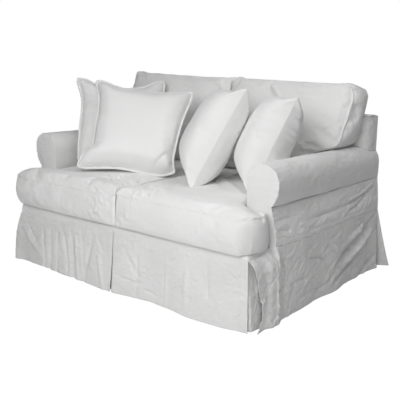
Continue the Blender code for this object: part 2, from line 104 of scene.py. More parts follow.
def roundedRoute(corners, radius, share):
    # the point at a share of a run of straight lines with round corners, in plan
    points = [Vector(corners[0])]
    for before, corner, after in zip(corners, corners[1:], corners[2:]):
        corner = Vector(corner)
        start = corner + (Vector(before) - corner).normalized() * radius
        end = corner + (Vector(after) - corner).normalized() * radius
        for t in (i / 8 for i in range(9)):
            points.append((1 - t) ** 2 * start + 2 * t * (1 - t) * corner + t * t * end)
    points = np.array(points + [Vector(corners[-1])])
    marks = lengthsAlong(points)
    return [np.interp(share * marks[-1], marks, points[:, i]) for i in (0, 1)]


def wander(seed, place):
    # an uneven line: about -1 to 1, changing over a distance of 1
    values = np.random.default_rng(seed).uniform(-1, 1, 2048)
    low = np.floor(place).astype(int)
    return mix(values[low % 2048], values[(low + 1) % 2048], eased(place - low))


def ripple(seed, p, q):
    # an uneven field: about -1 to 1, changing over a distance of 1
    values = np.random.default_rng(seed).uniform(-1, 1, (256, 256))
    i, j = np.floor(p).astype(int), np.floor(q).astype(int)
    s, t = eased(p - i), eased(q - j)
    low, high = (mix(values[i % 256, k % 256], values[(i + 1) % 256, k % 256], s) for k in (j, j + 1))
    return mix(low, high, t)


def fold(places, width, depth, path):
    # a soft trough (depth below 0) or ridge (above 0) along a path of points.
    # Beside it the cloth gives way a little, and it fades out at both ends.
    shoulder, endFade = 0.18, 0.25
    narrow = 1.4 if depth < 0 else 2.0  # a trough is a sharper line than a ridge
    marks = lengthsAlong(path)
    nearest = np.full(places.shape[:-1], 1e9)
    share = np.zeros(places.shape[:-1])
    for a, b, start, end in zip(path, path[1:], marks, marks[1:]):
        t = np.clip(((places - a) @ (b - a)) / (end - start) ** 2, 0, 1)
        away = np.linalg.norm(places - (a + t[..., None] * (b - a)), axis=-1)
        closer = away < nearest
        nearest = np.where(closer, away, nearest)
        share = np.where(closer, mix(start, end, t) / marks[-1], share)
    fade = eased(np.minimum(share, 1 - share) / endFade)
    profile = np.exp(-((nearest / width) ** narrow)) - shoulder * np.exp(-((nearest / (2.2 * width)) ** 2))
    return depth * fade * profile


def inMetres(row):
    # a fold's width, depth and path, from its row in millimetres
    return row[0] / 1000, row[1] / 1000, np.array(row[2:]) / 1000


def folds(places, rows):
    return sum(fold(places, *inMetres(row)) for row in rows)


def smallFolds(p, q, look):
    # short soft creases strewn over a panel, most of them lying at one slant.
    # A look is seed, count, slant and spread in degrees, then length, width, depth and the ranges of
    # both places in millimetres.
    seed, count, slant, spread, length, width, depth, *within = look
    random = np.random.default_rng(seed)
    lowP, highP, lowQ, highQ = np.array(within) / 1000
    length, width, depth = length / 1000, width / 1000, depth / 1000
    out = np.zeros(p.shape)
    for _ in range(count):
        centreP, centreQ = random.uniform(lowP, highP), random.uniform(lowQ, highQ)
        turn = math.radians(random.normal(slant, spread))
        long = length * random.uniform(0.5, 1.4)
        wide = width * random.uniform(0.6, 1.5)
        deep = depth * random.uniform(0.3, 1.0) * random.choice([-1, -1, 1])
        bend = random.uniform(-1, 1) * 0.8 / long
        p1, q1 = p - centreP, q - centreQ
        way = p1 * math.cos(turn) + q1 * math.sin(turn)
        aside = q1 * math.cos(turn) - p1 * math.sin(turn) + bend * way**2
        out += deep * np.exp(-((aside / wide) ** 2) - (way / long) ** 4)
    return out


def gathers(alongSeam, away, look):
    # small puckers that leave a seam at right angles and die out away from it.
    # A look is seed, spacing, reach and depth, in millimetres.
    seed, spacing, reach, depth = look
    lengthwise = alongSeam / (spacing / 1000)
    height = wander(seed, lengthwise) + 0.5 * wander(seed + 1, lengthwise * 2.3)
    reach = reach / 1000 * (0.75 + 0.5 * wander(seed + 2, lengthwise * 0.5))
    return depth / 1000 * height * np.exp(-away / np.maximum(reach, 0.002))


# materials


def wired(tree, node, **settings):
    # sets a node's own settings and its inputs: a node or a socket is linked, a value is set
    for key, value in settings.items():
        if hasattr(node, key):
            setattr(node, key, value)
            continue
        socket = node.inputs[int(key[2:]) if key.startswith("in") else key.replace("_", " ")]
        if isinstance(value, bpy.types.Node):
            value = value.outputs[0]
        if isinstance(value, bpy.types.NodeSocket):
            tree.links.new(value, socket)
        else:
            socket.default_value = value
    return node


def shaderNode(tree, kind, spot, **settings):
    node = tree.nodes.new(f"ShaderNode{kind}")
    node.location = spot
    return wired(tree, node, **settings)


def cotton(look):
    # plain-woven washed cotton: threads, slubs, soft crumples, a little tone, stitches by its seams
    material = bpy.data.materials.new(look["name"])
    material.use_nodes = True
    tree = material.node_tree

    def add(kind, spot, **settings):
        return shaderNode(tree, kind, spot, **settings)

    where = add("TexCoord", (-1600, 0)).outputs["Object"]
    grain = add("UVMap", (-1600, -300), uv_map="grain")
    seam = add("UVMap", (-1600, -700), uv_map="seam")

    # broad tone, so that no panel is one flat white
    tone = add("TexNoise", (-1300, 300), Scale=look["toneScale"], Detail=4.0, Vector=where)
    slub = add("Mapping", (-1400, 60), Scale=(60.0, 900.0, 1.0), Vector=grain)
    slubs = add("TexNoise", (-1200, 60), Scale=1.0, Detail=2.0, Vector=slub)
    both = add("Math", (-1000, 200), operation="MULTIPLY_ADD", in0=slubs, in1=0.35, in2=tone)
    ramp = add("ValToRGB", (-800, 250), Fac=both)
    for element, place, key in zip(ramp.color_ramp.elements, (0.45, 0.90), ("lowTone", "highTone")):
        element.position = place
        element.color = (look[key], look[key], look[key] - 0.005, 1)
    rough = add("MapRange", (-800, -60), To_Min=0.82, To_Max=0.95, Value=slubs)

    # warp and weft
    threads = [
        add("TexWave", (-1200, spot), wave_type="BANDS", bands_direction=direction, Scale=look["threads"],
            Distortion=1.5, Detail=1.0, Detail_Scale=2.0, Vector=grain).outputs["Fac"]
        for direction, spot in (("X", -300), ("Y", -500))
    ]
    weave = add("Math", (-1000, -400), operation="MAXIMUM", in0=threads[0], in1=threads[1])

    # fine crumples left by washing
    crumple = add("TexNoise", (-1200, -800), Scale=look["crumpleScale"], Detail=5.0, Distortion=0.6,
                  Roughness=0.6, Vector=where)
    crumpleBump = add("Bump", (-500, -700), Strength=look["crumple"], Distance=0.010, Height=crumple)
    weaveBump = add("Bump", (-500, -400), Strength=0.35, Distance=0.0003, Height=weave, Normal=crumpleBump)

    # a row of stitches beside each seam: U runs along the seam, V is the distance from it
    parts = add("SeparateXYZ", (-1400, -1000), Vector=seam)
    row = add("Math", (-1200, -1000), operation="COMPARE", in0=parts.outputs["Y"],
              in1=look["stitchAway"], in2=0.0009)
    dash = add("Math", (-1200, -1200), operation="PINGPONG", in0=parts.outputs["X"], in1=0.002)
    dashed = add("Math", (-1000, -1200), operation="GREATER_THAN", in0=dash, in1=0.0006)
    stitch = add("Math", (-800, -1100), operation="MULTIPLY", in0=row, in1=dashed)
    stitchBump = add("Bump", (-300, -900), Strength=0.6, Distance=0.0006, invert=True, Height=stitch,
                     Normal=weaveBump)

    wired(tree, tree.nodes["Principled BSDF"], Metallic=0.0, Specular_IOR_Level=0.25,
          Sheen_Weight=look["sheen"], Sheen_Roughness=0.55, Base_Color=ramp, Roughness=rough,
          Normal=stitchBump)
    return material


cottonKeys = ("name", "lowTone", "highTone", "toneScale", "threads", "crumple", "crumpleScale",
              "sheen", "stitchAway")
cottonTable = [
    ("cover_cotton", "washedCoverCotton", 0.80, 0.86, 4.0, 330.0, 0.65, 30.0, 0.12, 0.006),
    ("skirt_cotton", "hangingSkirtCotton", 0.79, 0.86, 5.0, 330.0, 0.90, 32.0, 0.12, 0.023),
    ("cushion_cotton", "filledCushionCotton", 0.81, 0.87, 3.5, 330.0, 0.45, 30.0, 0.14, 0.006),
    ("pillow_cotton", "smoothPillowCotton", 0.84, 0.89, 3.0, 380.0, 0.16, 26.0, 0.16, 0.005),
    ("piping_cotton", "biasPipingCotton", 0.84, 0.90, 9.0, 300.0, 0.06, 60.0, 0.16, 0.004),
]
cottons = {row[0]: cotton(dict(zip(cottonKeys, row[1:]))) for row in cottonTable}
print("cotton materials made:", len(cottons))


# meshes


def turnedOut(mesh):
    # all faces look outwards
    shell = bmesh.new()
    shell.from_mesh(mesh)
    bmesh.ops.recalc_face_normals(shell, faces=shell.faces)
    shell.to_mesh(mesh)
    shell.free()


def finished(piece, node, slot):
    piece.data.materials.clear()
    piece.data.materials.append(cottons[slot])
    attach(piece, "root")
    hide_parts(node)


def meshOf(name, points, faces, cornerMaps):
    mesh = bpy.data.meshes.new(f"{name}_cloth")
    mesh.from_pydata(points.tolist(), [], faces.tolist())
    for mapName, values in cornerMaps.items():
        layer = mesh.uv_layers.new(name=mapName)
        layer.uv.foreach_set("vector", np.ascontiguousarray(values, np.float32).ravel())
    mesh.shade_smooth()
    piece = bpy.data.objects.new(mesh.name, mesh)
    bpy.context.scene.collection.objects.link(piece)
    return piece


def gridFaces(columns, rows, start=0):
    i, j = np.meshgrid(np.arange(columns), np.arange(rows), indexing="ij")
    corner = start + i * (rows + 1) + j
    up, right = 1, rows + 1
    return np.stack([corner, corner + right, corner + right + up, corner + up], -1).reshape(-1, 4)


def gridNormals(grid, inside):
    # unit normals of a grid of points, away from the point inside
    du, dv = np.gradient(grid, axis=0), np.gradient(grid, axis=1)
    normal = np.cross(du, dv)
    normal /= np.maximum(np.linalg.norm(normal, axis=-1, keepdims=True), 1e-12)
    if ((grid - np.array(inside)) * normal).sum() < 0:
        normal = -normal
    return normal


def turnedEdge(grid, u, v, edge, inside):
    # the seam allowance: at this edge the cloth turns inwards, so that no seam gapes
    axis = 0 if edge in ("left", "right") else 1
    atEnd = edge in ("right", "head")
    if atEnd:
        grid, u, v = (np.flip(part, axis) for part in (grid, u, v))
    rim, beside = np.take(grid, [0], axis), np.take(grid, [1], axis)
    normal = np.take(gridNormals(grid, inside), [0], axis)
    away = rim - beside
    cell = np.linalg.norm(away, axis=-1, keepdims=True)
    flange = rim - normal * cover["allowance"] - away / cell * half
    near = mix(rim, beside, np.minimum(0.4, cover["crisp"] / cell))
    parts = [np.concatenate([flange, rim, near, np.delete(grid, 0, axis)], axis)]
    for part in (u, v):
        first, second = np.take(part, [0], axis), np.take(part, [1], axis)
        bend = mix(first, second, 0.2)
        parts.append(np.concatenate([first, first, bend, np.delete(part, 0, axis)], axis))
    return [np.flip(part, axis) for part in parts] if atEnd else parts


bodyCloth = {"slot": "cover_cotton", "held": "stretched"}


def sheetPiece(name, look, surface, relief=None):
    # a panel of cloth: surface(u, v) gives its shape and relief(u, v, grid) how far it then stands out
    look = {**bodyCloth, **look}
    columns, rows = look["grid"]
    upwards = look.get("up", np.linspace(0, 1, rows + 1))
    u, v = np.meshgrid(np.linspace(0, 1, columns + 1), upwards, indexing="ij")
    grid = np.stack(np.broadcast_arrays(*surface(u, v)), -1)
    if relief:
        grid = grid + gridNormals(grid, look["inside"]) * relief(u, v, grid)[..., None]
    grid[..., 2] = np.maximum(grid[..., 2], half)  # nothing hangs through the floor
    for edge in look.get("turnedIn", ()):
        grid, u, v = turnedEdge(grid, u, v, edge, look["inside"])
    width, length = look["flat"]
    flat = np.stack([u * width, v * length], -1).reshape(-1, 2)
    edges = {"left": u * width, "right": (1 - u) * width, "foot": v * length, "head": (1 - v) * length}
    away, runs = np.full(u.shape, 1.0), np.zeros(u.shape)
    for edge in look.get("stitched", ()):
        closer = edges[edge] < away
        away = np.where(closer, edges[edge], away)
        runs = np.where(closer, v * length if edge in ("left", "right") else u * width, runs)
    seam = np.stack([runs, away], -1).reshape(-1, 2)
    faces = gridFaces(u.shape[0] - 1, u.shape[1] - 1)
    maps = {"grain": flat[faces.ravel()], "seam": seam[faces.ravel()]}
    piece = meshOf(name, grid.reshape(-1, 3), faces, maps)
    thick = piece.modifiers.new("cloth", "SOLIDIFY")
    thick.thickness = cover["thickness"]
    thick.offset = 0.0
    finished(piece, name, look["slot"])


# seat base


def seamUnderEar(side, y):
    share = np.clip((y - cover["frontY"]) / (cover["facingY"] - cover["frontY"]), 0, 1)
    return mix(along(frontSeam, np.array(side * cover["earX"])), 0.320, share)


deckPanel = {
    "flat": (1.487, 0.900), "area": 1.16,
    "grid": (60, 40), "inside": (0, 0, 0), "sag": 0.0015,
}


def makeDeck(look):
    soft = cover["softFront"]
    ear, seat = cover["earX"] + half, cover["seatX"]
    softFrom, softTo = cover["softRows"]
    step = cover["facingY"] + half
    rear = cover["backFoot"][1] - half - gap
    inFront = np.linspace(cover["frontY"] - half + soft, step, 12)
    depths = np.append(inFront, np.linspace(step + gap, rear, 30))
    look["up"] = (depths - depths[0]) / (depths[-1] - depths[0])

    def surface(u, v):
        y = mix(depths[0], depths[-1], v)
        narrower = soft * (1 - eased((y - softFrom) / (softTo - softFrom)))
        x = np.where(y <= step + 1e-6, ear - narrower, seat) * (2 * u - 1)
        return x, y, np.full(u.shape, cover["deckZ"])

    def relief(u, v, grid):
        uneven = 0.5 + 0.5 * ripple(5, grid[..., 0] * 9, grid[..., 1] * 9)
        return -look["sag"] * uneven * np.sin(np.pi * u)

    sheetPiece("deck", look, surface, relief)


makeDeck(deckPanel)

frontBand = {
    "flat": (1.78, 0.045), "area": 0.065,
    "grid": (300, 6), "inside": (0, 0, 0.3), "stitched": ("foot",), "turnedIn": ("foot",),
    "gathers": (11, 13, 12, 1),
}


def makeFrontBand(look):
    ear, end = cover["earX"], cover["facingY"] - half - gap
    corners = ((-ear, end), (-ear, cover["frontY"]), (ear, cover["frontY"]), (ear, end))
    top = cover["deckZ"] - half - gap
    soft = cover["softFront"]
    softCorners = [(math.copysign(ear - soft, x), max(y, cover["frontY"] + soft)) for x, y in corners]
    softRows = cover["softRows"]

    def surface(u, v):
        x, y = roundedRoute(corners, 0.012, u)
        softX, softY = roundedRoute(softCorners, 0.012, u)
        softened = v**2 * (1 - eased((y - softRows[0]) / (softRows[1] - softRows[0])))
        x, y = mix(x, softX, softened), mix(y, softY, softened)
        foot = along(frontSeam, x)
        beside = np.where(x > 0, seamUnderEar(1, y), seamUnderEar(-1, y))
        onEar = (np.abs(x) > ear - soft - 0.001) & (y > cover["frontY"] + 0.013)
        foot = np.where(onEar, beside, foot)
        return x, y, mix(foot + gap, top, v)

    def relief(u, v, grid):
        return gathers(u * look["flat"][0], v * look["flat"][1], look["gathers"])

    sheetPiece("front_band", look, surface, relief)


makeFrontBand(frontBand)
print("seat base made")


# arms

armShape = {
    "rollX": 0.702, "rollHalfWidth": 0.078, "rollRise": 0.080, "rollZ": 0.600, "rollDrop": 0.033,
    "underRoll": 0.115, "underTurn": (math.radians(57), math.radians(44)),  # at the front, at the rear
    "tuckedUnder": (1.0, 0.15),
    "tuck": 0.0012,  # how far both edges turn in at the seam under the roll
    "puff": 0.004,  # crown of the facing
}
armFolds = {
    "R": [  # in millimetres: width, depth, then points (y, height) on the outside of the arm
        (12.8, -5, (-197, 406), (10, 402), (215, 402), (537, 445)),
        (10.4, -5.5, (169, 362), (322, 381), (503, 440)),
        (8, -2.5, (-380, 446), (-290, 444), (-197, 436)),
        (8, -2.2, (-386, 409), (-330, 398), (-277, 384)),
        (8, 3, (200, 420), (360, 428), (530, 478)),
        (5.6, -3, (310, 352), (323, 371), (345, 395)),
        (5.6, -3, (370, 350), (385, 372), (420, 396)),
        (4, -1.6, (-384, 356), (0, 357), (300, 349), (530, 345)),
        (4.8, -2, (-386, 485), (-350, 482)),
        (4.8, -2, (-386, 468), (-345, 462)),
        (4.8, -1.6, (-386, 372), (-330, 368)),
    ],
    "L": [
        (12.8, -4.5, (-260, 420), (50, 400), (320, 410), (537, 455)),
        (10.4, -4.5, (100, 365), (290, 380), (520, 430)),
        (8, -2.5, (-380, 440), (-180, 420)),
        (4, -1.6, (-384, 356), (0, 357), (300, 349), (530, 345)),
    ],
}


def rollZ(y):
    share = np.clip((y - cover["facingY"]) / (cover["backY"] - cover["facingY"]), 0, 1)
    return armShape["rollZ"] - armShape["rollDrop"] * share


def alongArm(pair, y):
    share = np.clip((y - cover["facingY"]) / (cover["backY"] - cover["facingY"]), 0, 1)
    return mix(*armShape[pair], share**1.3)


def sleeveSection(v, y):
    # x and height on the arm: v 0 at the deck inside, 1 at the seam under the roll outside
    middle = rollZ(y)
    turn = alongArm("underTurn", y)
    upright = middle - cover["backFoot"][0]
    over = math.pi * armShape["rollHalfWidth"]
    under = turn * armShape["underRoll"] * 0.87
    way = v * (upright + over + under)
    turnOver = np.clip((way - upright) / over, 0, 1) * math.pi
    turnUnder = turn * np.clip((way - upright - over) / under, 0, 1)
    x = armShape["rollX"] - armShape["rollHalfWidth"] * np.cos(turnOver)
    x = x - armShape["rollHalfWidth"] * (1 - np.cos(turnUnder)) * alongArm("tuckedUnder", y)
    onRoll = middle + armShape["rollRise"] * np.sin(turnOver)
    z = np.where(way < upright, cover["backFoot"][0] + way, onRoll)
    return x, z - armShape["underRoll"] * np.sin(turnUnder)


def outerSection(v, y):
    # x and height on the outside of the arm: v 0 at the seam under the roll, 1 at the skirt
    topX, topZ = sleeveSection(np.ones_like(y), y)
    share = np.clip((y - cover["facingY"]) / cover["armFlare"], 0, 1)
    footX = mix(cover["armFootX"], cover["sideX"], share)
    footZ = along(sideSeam, y) + half + gap
    x = mix(topX, footX, np.sin(v * np.pi / 2))
    return x, mix(topZ - 2 * half - gap, footZ, v)


sleevePanel = {
    "flat": (0.927, 0.620), "stitched": ("left",),
    "turnedIn": ("left", "head"),
    "gathersFront": (21, 11, 26, 2.4),
    "gathersSeam": (24, 20, 14, 1),
    "smallFolds": (27, 60, 8, 16, 80, 12, 1.8, 0, 930, 200, 620),
}
outerPanel = {
    "flat": (0.927, 0.180), "stitched": ("foot", "head"),
    "turnedIn": ("foot", "head", "left", "right"), "strength": 2.7,
    "gathersFront": (31, 13, 30, 4),
    "gathersSeam": (34, 17, 16, 1.4),
    "smallFolds": (37, 70, 14, 16, 55, 9, 1.3, -380, 540, 330, 520),
}
facingPanel = {
    "flat": (0.165, 0.350), "area": 0.048,
    "grid": (26, 90), "stitched": (), "turnedIn": ("left", "right"),
    "gathers": (41, 14, 18, 2),
}


def makeArm(side, hand, fine):
    front, back = cover["facingY"] + half + gap, cover["backY"] - half - gap
    middle = (side * armShape["rollX"], 0.08, 0.50)

    def sleeveSurface(u, v):
        y = mix(front, back, u)
        x, z = sleeveSection(v, y)
        return side * x, y, z

    def sleeveRelief(u, v, grid):
        width, length = sleevePanel["flat"]
        onRoll = eased((v - 0.30) / 0.2)
        out = gathers(v * length, u * width, sleevePanel["gathersFront"]) * onRoll
        out += gathers(u * width, (1 - v) * length, sleevePanel["gathersSeam"])
        out += smallFolds(u * width, v * length, sleevePanel["smallFolds"])
        out += 0.0016 * ripple(28 + side, u * 9, v * 7) * onRoll
        return out - armShape["tuck"] * np.exp(-((1 - v) * length / 0.006) ** 2)

    def outerSurface(u, v):
        y = mix(front, back, u)
        x, z = outerSection(v, y)
        return side * x, y, z

    def outerRelief(u, v, grid):
        width, length = outerPanel["flat"]
        place = grid[..., 1:]
        held = np.sin(np.pi * np.clip(v, 0, 1)) ** 0.5
        out = folds(place, armFolds[hand]) * held
        out += smallFolds(grid[..., 1], grid[..., 2], outerPanel["smallFolds"]) * held
        out *= outerPanel["strength"]
        out += gathers(v * length, u * width, outerPanel["gathersFront"])
        out += gathers(u * width, (1 - v) * length, outerPanel["gathersSeam"])
        return out - armShape["tuck"] * np.exp(-(v * length / 0.006) ** 2)

    sleeve = dict(sleevePanel, inside=middle, grid=(140, 90) if fine else (90, 60))
    outer = dict(outerPanel, inside=middle, grid=(160, 70) if fine else (90, 22))
    sheetPiece(f"arm_sleeve_{hand}", sleeve, sleeveSurface, sleeveRelief)
    sheetPiece(f"arm_outer_{hand}", outer, outerSurface, outerRelief)

    # the facing, row by row from its foot to the top of the roll
    y = np.array(cover["facingY"])
    steps = np.linspace(0, 1, 400)
    overX, overZ = sleeveSection(steps, np.full(400, cover["facingY"]))
    downX, downZ = outerSection(steps, np.full(400, cover["facingY"]))
    top = int(np.argmax(overZ))
    outlineX = np.append(overX[top:], downX)[::-1]
    outlineZ = np.append(overZ[top:], downZ)[::-1]
    footZ, apexZ = cover["backFoot"][0], overZ[top]

    # below the arm's own foot a small corner of it fills the step between band and side skirt
    lowZ = float(seamUnderEar(side, y)) + 0.002
    stepFrom, stepTo = cover["earX"] + 0.0028, cover["armFootX"]
    rise = np.sin(np.linspace(0, 1, facingPanel["grid"][1] - 3) * np.pi / 2)
    heights = np.append([lowZ, mix(lowZ, footZ, 0.5), footZ - 0.0004], mix(footZ, apexZ - 0.0004, rise))
    places = (heights - lowZ) / (heights[-1] - lowZ)

    def facingSurface(u, v):
        z = mix(lowZ, heights[-1], v)
        left = np.where(z < footZ - 0.0002, stepFrom, np.interp(z, overZ[:top + 1], overX[:top + 1]))
        right = np.interp(z, outlineZ, outlineX)
        onStep = np.clip((z - lowZ) / (outlineZ[0] - lowZ), 0, 1)
        right = np.where(z < outlineZ[0], mix(stepFrom + 0.002, stepTo, onStep), right)
        return side * mix(left, right, u), np.full(u.shape, float(y)), z

    def facingRelief(u, v, grid):
        rim = np.minimum(np.minimum(u, 1 - u) * 2, (1 - v) * 2.5)
        away = np.minimum(u, 1 - u) * 0.15
        out = armShape["puff"] * eased(rim / 0.7) * eased((v - 0.06) / 0.25)
        out += gathers(v * 0.35, away, facingPanel["gathers"]) * eased((v - 0.06) / 0.2)
        return out

    facing = dict(facingPanel, inside=(side * 0.7, 0.0, 0.5), up=places)
    sheetPiece(f"arm_facing_{hand}", facing, facingSurface, facingRelief)


makeArm(1, "R", True)
makeArm(-1, "L", False)
print("arms made")


# back

backPanels = {
    "inside": {
        "flat": (1.241, 0.481), "grid": (40, 18),
        "inside": (0, 0.6, 0.5),
        "smallFolds": (51, 30, 20, 30, 100, 20, 1.8, -620, 620, 340, 800),
    },
    "outside": {
        "flat": (1.580, 0.470), "grid": (130, 44),
        "inside": (0, 0, 0.5), "stitched": ("foot", "head", "left", "right"), "area": 0.72,
        "turnedIn": ("foot", "head", "left", "right"),
        "gathers": (54, 22, 20, 1.6),
        "folds": [
            (30, -5, (-620, 350), (-420, 450), (-200, 520)),
            (30, -5, (150, 380), (400, 420), (640, 480)),
            (26, 4, (-300, 700), (20, 712), (350, 740)),
            (16, -3, (-700, 560), (-480, 590), (-300, 640)),
            (16, -2.8, (700, 600), (520, 620), (330, 680)),
            (14, -2.6, (-120, 360), (-50, 450), (-40, 560)),
        ],
        "smallFolds": (57, 90, 12, 30, 75, 13, 1.6, -780, 780, 330, 800),
    },
    "top": {
        "flat": (1.542, 0.090), "grid": (180, 12),
        "inside": (0, 0.5, 0.0), "stitched": ("foot", "head"),
        "turnedIn": ("foot", "head", "left", "right"),
        "gathers": (61, 20, 14, 1.1),
    },
    "wing": {
        "flat": (0.235, 0.180), "grid": (60, 40),
        "area": 0.036, "stitched": ("right", "head"), "turnedIn": ("head", "right", "foot"),
        "gathers": (64, 16, 16, 1.3),
        "smallFolds": (67, 16, 75, 14, 50, 10, 1.6, 0, 230, 0, 180),
    },
}


def backY(z):
    (footZ, footY), (headZ, headY) = cover["backFoot"], cover["backHead"]
    return mix(footY, headY, (z - footZ) / (headZ - footZ))


def headZ(y):
    share = np.clip((y - cover["backHead"][1]) / (cover["backY"] - cover["backHead"][1]), 0, 1)
    return cover["backTopZ"] + half + gap - 0.010 * share + 0.005 * np.sin(np.pi * share)


def rollTop(x, y, clear):
    across = np.minimum(1.0, np.abs((np.abs(x) - armShape["rollX"]) / (armShape["rollHalfWidth"] + clear)))
    return rollZ(y) + (armShape["rollRise"] + clear) * np.sqrt(1 - across * across)


def makeBack():
    seatX, rearY, wingX = cover["seatX"], cover["backY"], cover["wingX"]

    def inside(u, v):
        z = mix(cover["backFoot"][0], cover["backTopZ"], v)
        return mix(-seatX, seatX, u), backY(z), z

    def insideRelief(u, v, grid):
        flat = smallFolds(grid[..., 0], grid[..., 2], backPanels["inside"]["smallFolds"])
        return flat * np.sin(np.pi * v) * np.sin(np.pi * u)

    sheetPiece("inside_back", backPanels["inside"], inside, insideRelief)

    def outerEdge(z):
        pinchX, pinchZ = sleeveSection(np.ones(()), np.array(rearY))
        share = np.clip((pinchZ - z) / (pinchZ - 0.325), 0, 1)
        below = mix(pinchX, cover["sideX"], np.sin(share * np.pi / 2))
        turn = np.arcsin(np.clip((rollZ(rearY) - z) / armShape["underRoll"], 0, 1))
        tucked = armShape["tuckedUnder"][1] * (1 - np.cos(turn))
        beside = armShape["rollX"] + armShape["rollHalfWidth"] * (1 - tucked)
        rise = np.clip((z - rollZ(rearY)) / armShape["rollRise"], 0, 1)
        above = np.maximum(wingX, armShape["rollX"] + armShape["rollHalfWidth"] * np.sqrt(1 - rise**2))
        return np.where(z < pinchZ, below, np.where(z < rollZ(rearY), beside, above))

    def outside(u, v):
        foot = along(sideSeam, np.array(rearY)) + half + gap
        z = mix(foot, headZ(rearY) - half - gap, v)
        return (2 * u - 1) * (outerEdge(z) + half), np.full(u.shape, rearY), z

    def outsideRelief(u, v, grid):
        look = backPanels["outside"]
        width, length = look["flat"]
        inner = np.maximum(0.0, 1 - (grid[..., 0] / seatX) ** 4) * np.sin(np.pi * v)
        small = smallFolds(grid[..., 0], grid[..., 2], look["smallFolds"])
        small *= np.minimum(1, np.sin(np.pi * v) * 3) * np.minimum(1, np.sin(np.pi * u) * 6)
        out = folds(grid[..., ::2], look["folds"]) * inner + small
        out += gathers(u * width, v * length, look["gathers"])
        return out + gathers(u * width + 3, (1 - v) * length, look["gathers"])

    sheetPiece("outside_back", backPanels["outside"], outside, outsideRelief)

    end = wingX + half

    def head(u, v):
        y = mix(cover["backHead"][1] - half, rearY + half, v)
        return mix(-end, end, u), y, headZ(y)

    def headRelief(u, v, grid):
        look = backPanels["top"]
        width, length = look["flat"]
        out = gathers(u * width, v * length, look["gathers"])
        return out + gathers(u * width + 5, (1 - v) * length, look["gathers"])

    sheetPiece("back_top", backPanels["top"], head, headRelief)

    rear, start = rearY - half - gap, cover["backHead"][1]
    corners = ((seatX + 0.0015, start), (wingX, start), (wingX, rear))

    for side, hand in ((-1, "L"), (1, "R")):
        def wing(u, v):
            x, y = roundedRoute(corners, 0.055, u)
            share = (y - start) / (rear - start)
            footY = mix(backY(armShape["rollZ"]), rear, share)
            foot = rollTop(x, footY, 0.0032)
            z = mix(foot, headZ(y) - half - 2 * gap, v)
            return side * x, mix(backY(z), rear, share), z

        def wingRelief(u, v, grid):
            look = backPanels["wing"]
            width, length = look["flat"]
            edge = np.minimum(1, np.sin(np.pi * u) * 5) * np.minimum(1, np.sin(np.pi * v) * 5)
            out = smallFolds(u * width, v * length, look["smallFolds"]) * edge
            out += 0.7 * gathers(u * width, (1 - v) * length, look["gathers"])
            return out + 0.0016 * np.exp(-((1 - u) * width / 0.005) ** 2)

        look = dict(backPanels["wing"], inside=(side * 0.6, 0.52, 0.5))
        sheetPiece(f"back_wing_{hand}", look, wing, wingRelief)


makeBack()
print("back made")


# skirt

frontHem = [  # x, how far the front hem stands out from the seam
    (-800, 12), (-730, -2), (-620, 4), (-340, 21), (-60, 34), (-10, 34), (100, 18), (200, 4), (285, 10),
    (466, 32), (590, 26), (745, 1),
]
sideHem = [  # y, x of the side hem
    (-522, 780), (-466, 776), (-425, 790), (-388, 794), (-330, 775), (-169, 779), (-33, 774), (110, 792),
    (250, 779), (360, 784), (455, 783), (554, 800),
]
flapEdge = [  # height, y of the side skirt's front edge
    (0, -522), (28, -499), (55, -480), (90, -483), (140, -499), (200, -517), (260, -531), (312, -538),
]
skirtCloth = {
    "slot": "skirt_cotton", "held": "hung", "stitched": ("foot",), "turnedIn": ("head",),
    "hem": 0.023, "hemFade": 0.004,
}


def skirtRelief(look, first):
    # folds that hang from the seam, small ones between them, and the step of the hem.
    # first is the axis that runs along the skirt.
    def relief(u, v, grid):
        width, length = look["flat"]
        free = np.minimum(1.0, (1 - v) * 2.2) * (1 - look["calm"] * (1 - v) ** 6)  # calmer at the hem
        small = np.minimum(1.0, (1 - v) * 6)
        if "endsHeld" in look:
            free = small = free * np.minimum(1.0, np.sin(np.pi * u) * 8)
        out = folds(grid[..., [first, 2]], look["folds"]) * free
        out += smallFolds(grid[..., first], grid[..., 2], look["smallFolds"]) * small
        out = out * look["strength"] + gathers(u * width, (1 - v) * length, look["gathers"])
        return out + look["hemStep"] * (1 - eased((v * length - skirtCloth["hem"]) / skirtCloth["hemFade"]))

    return relief


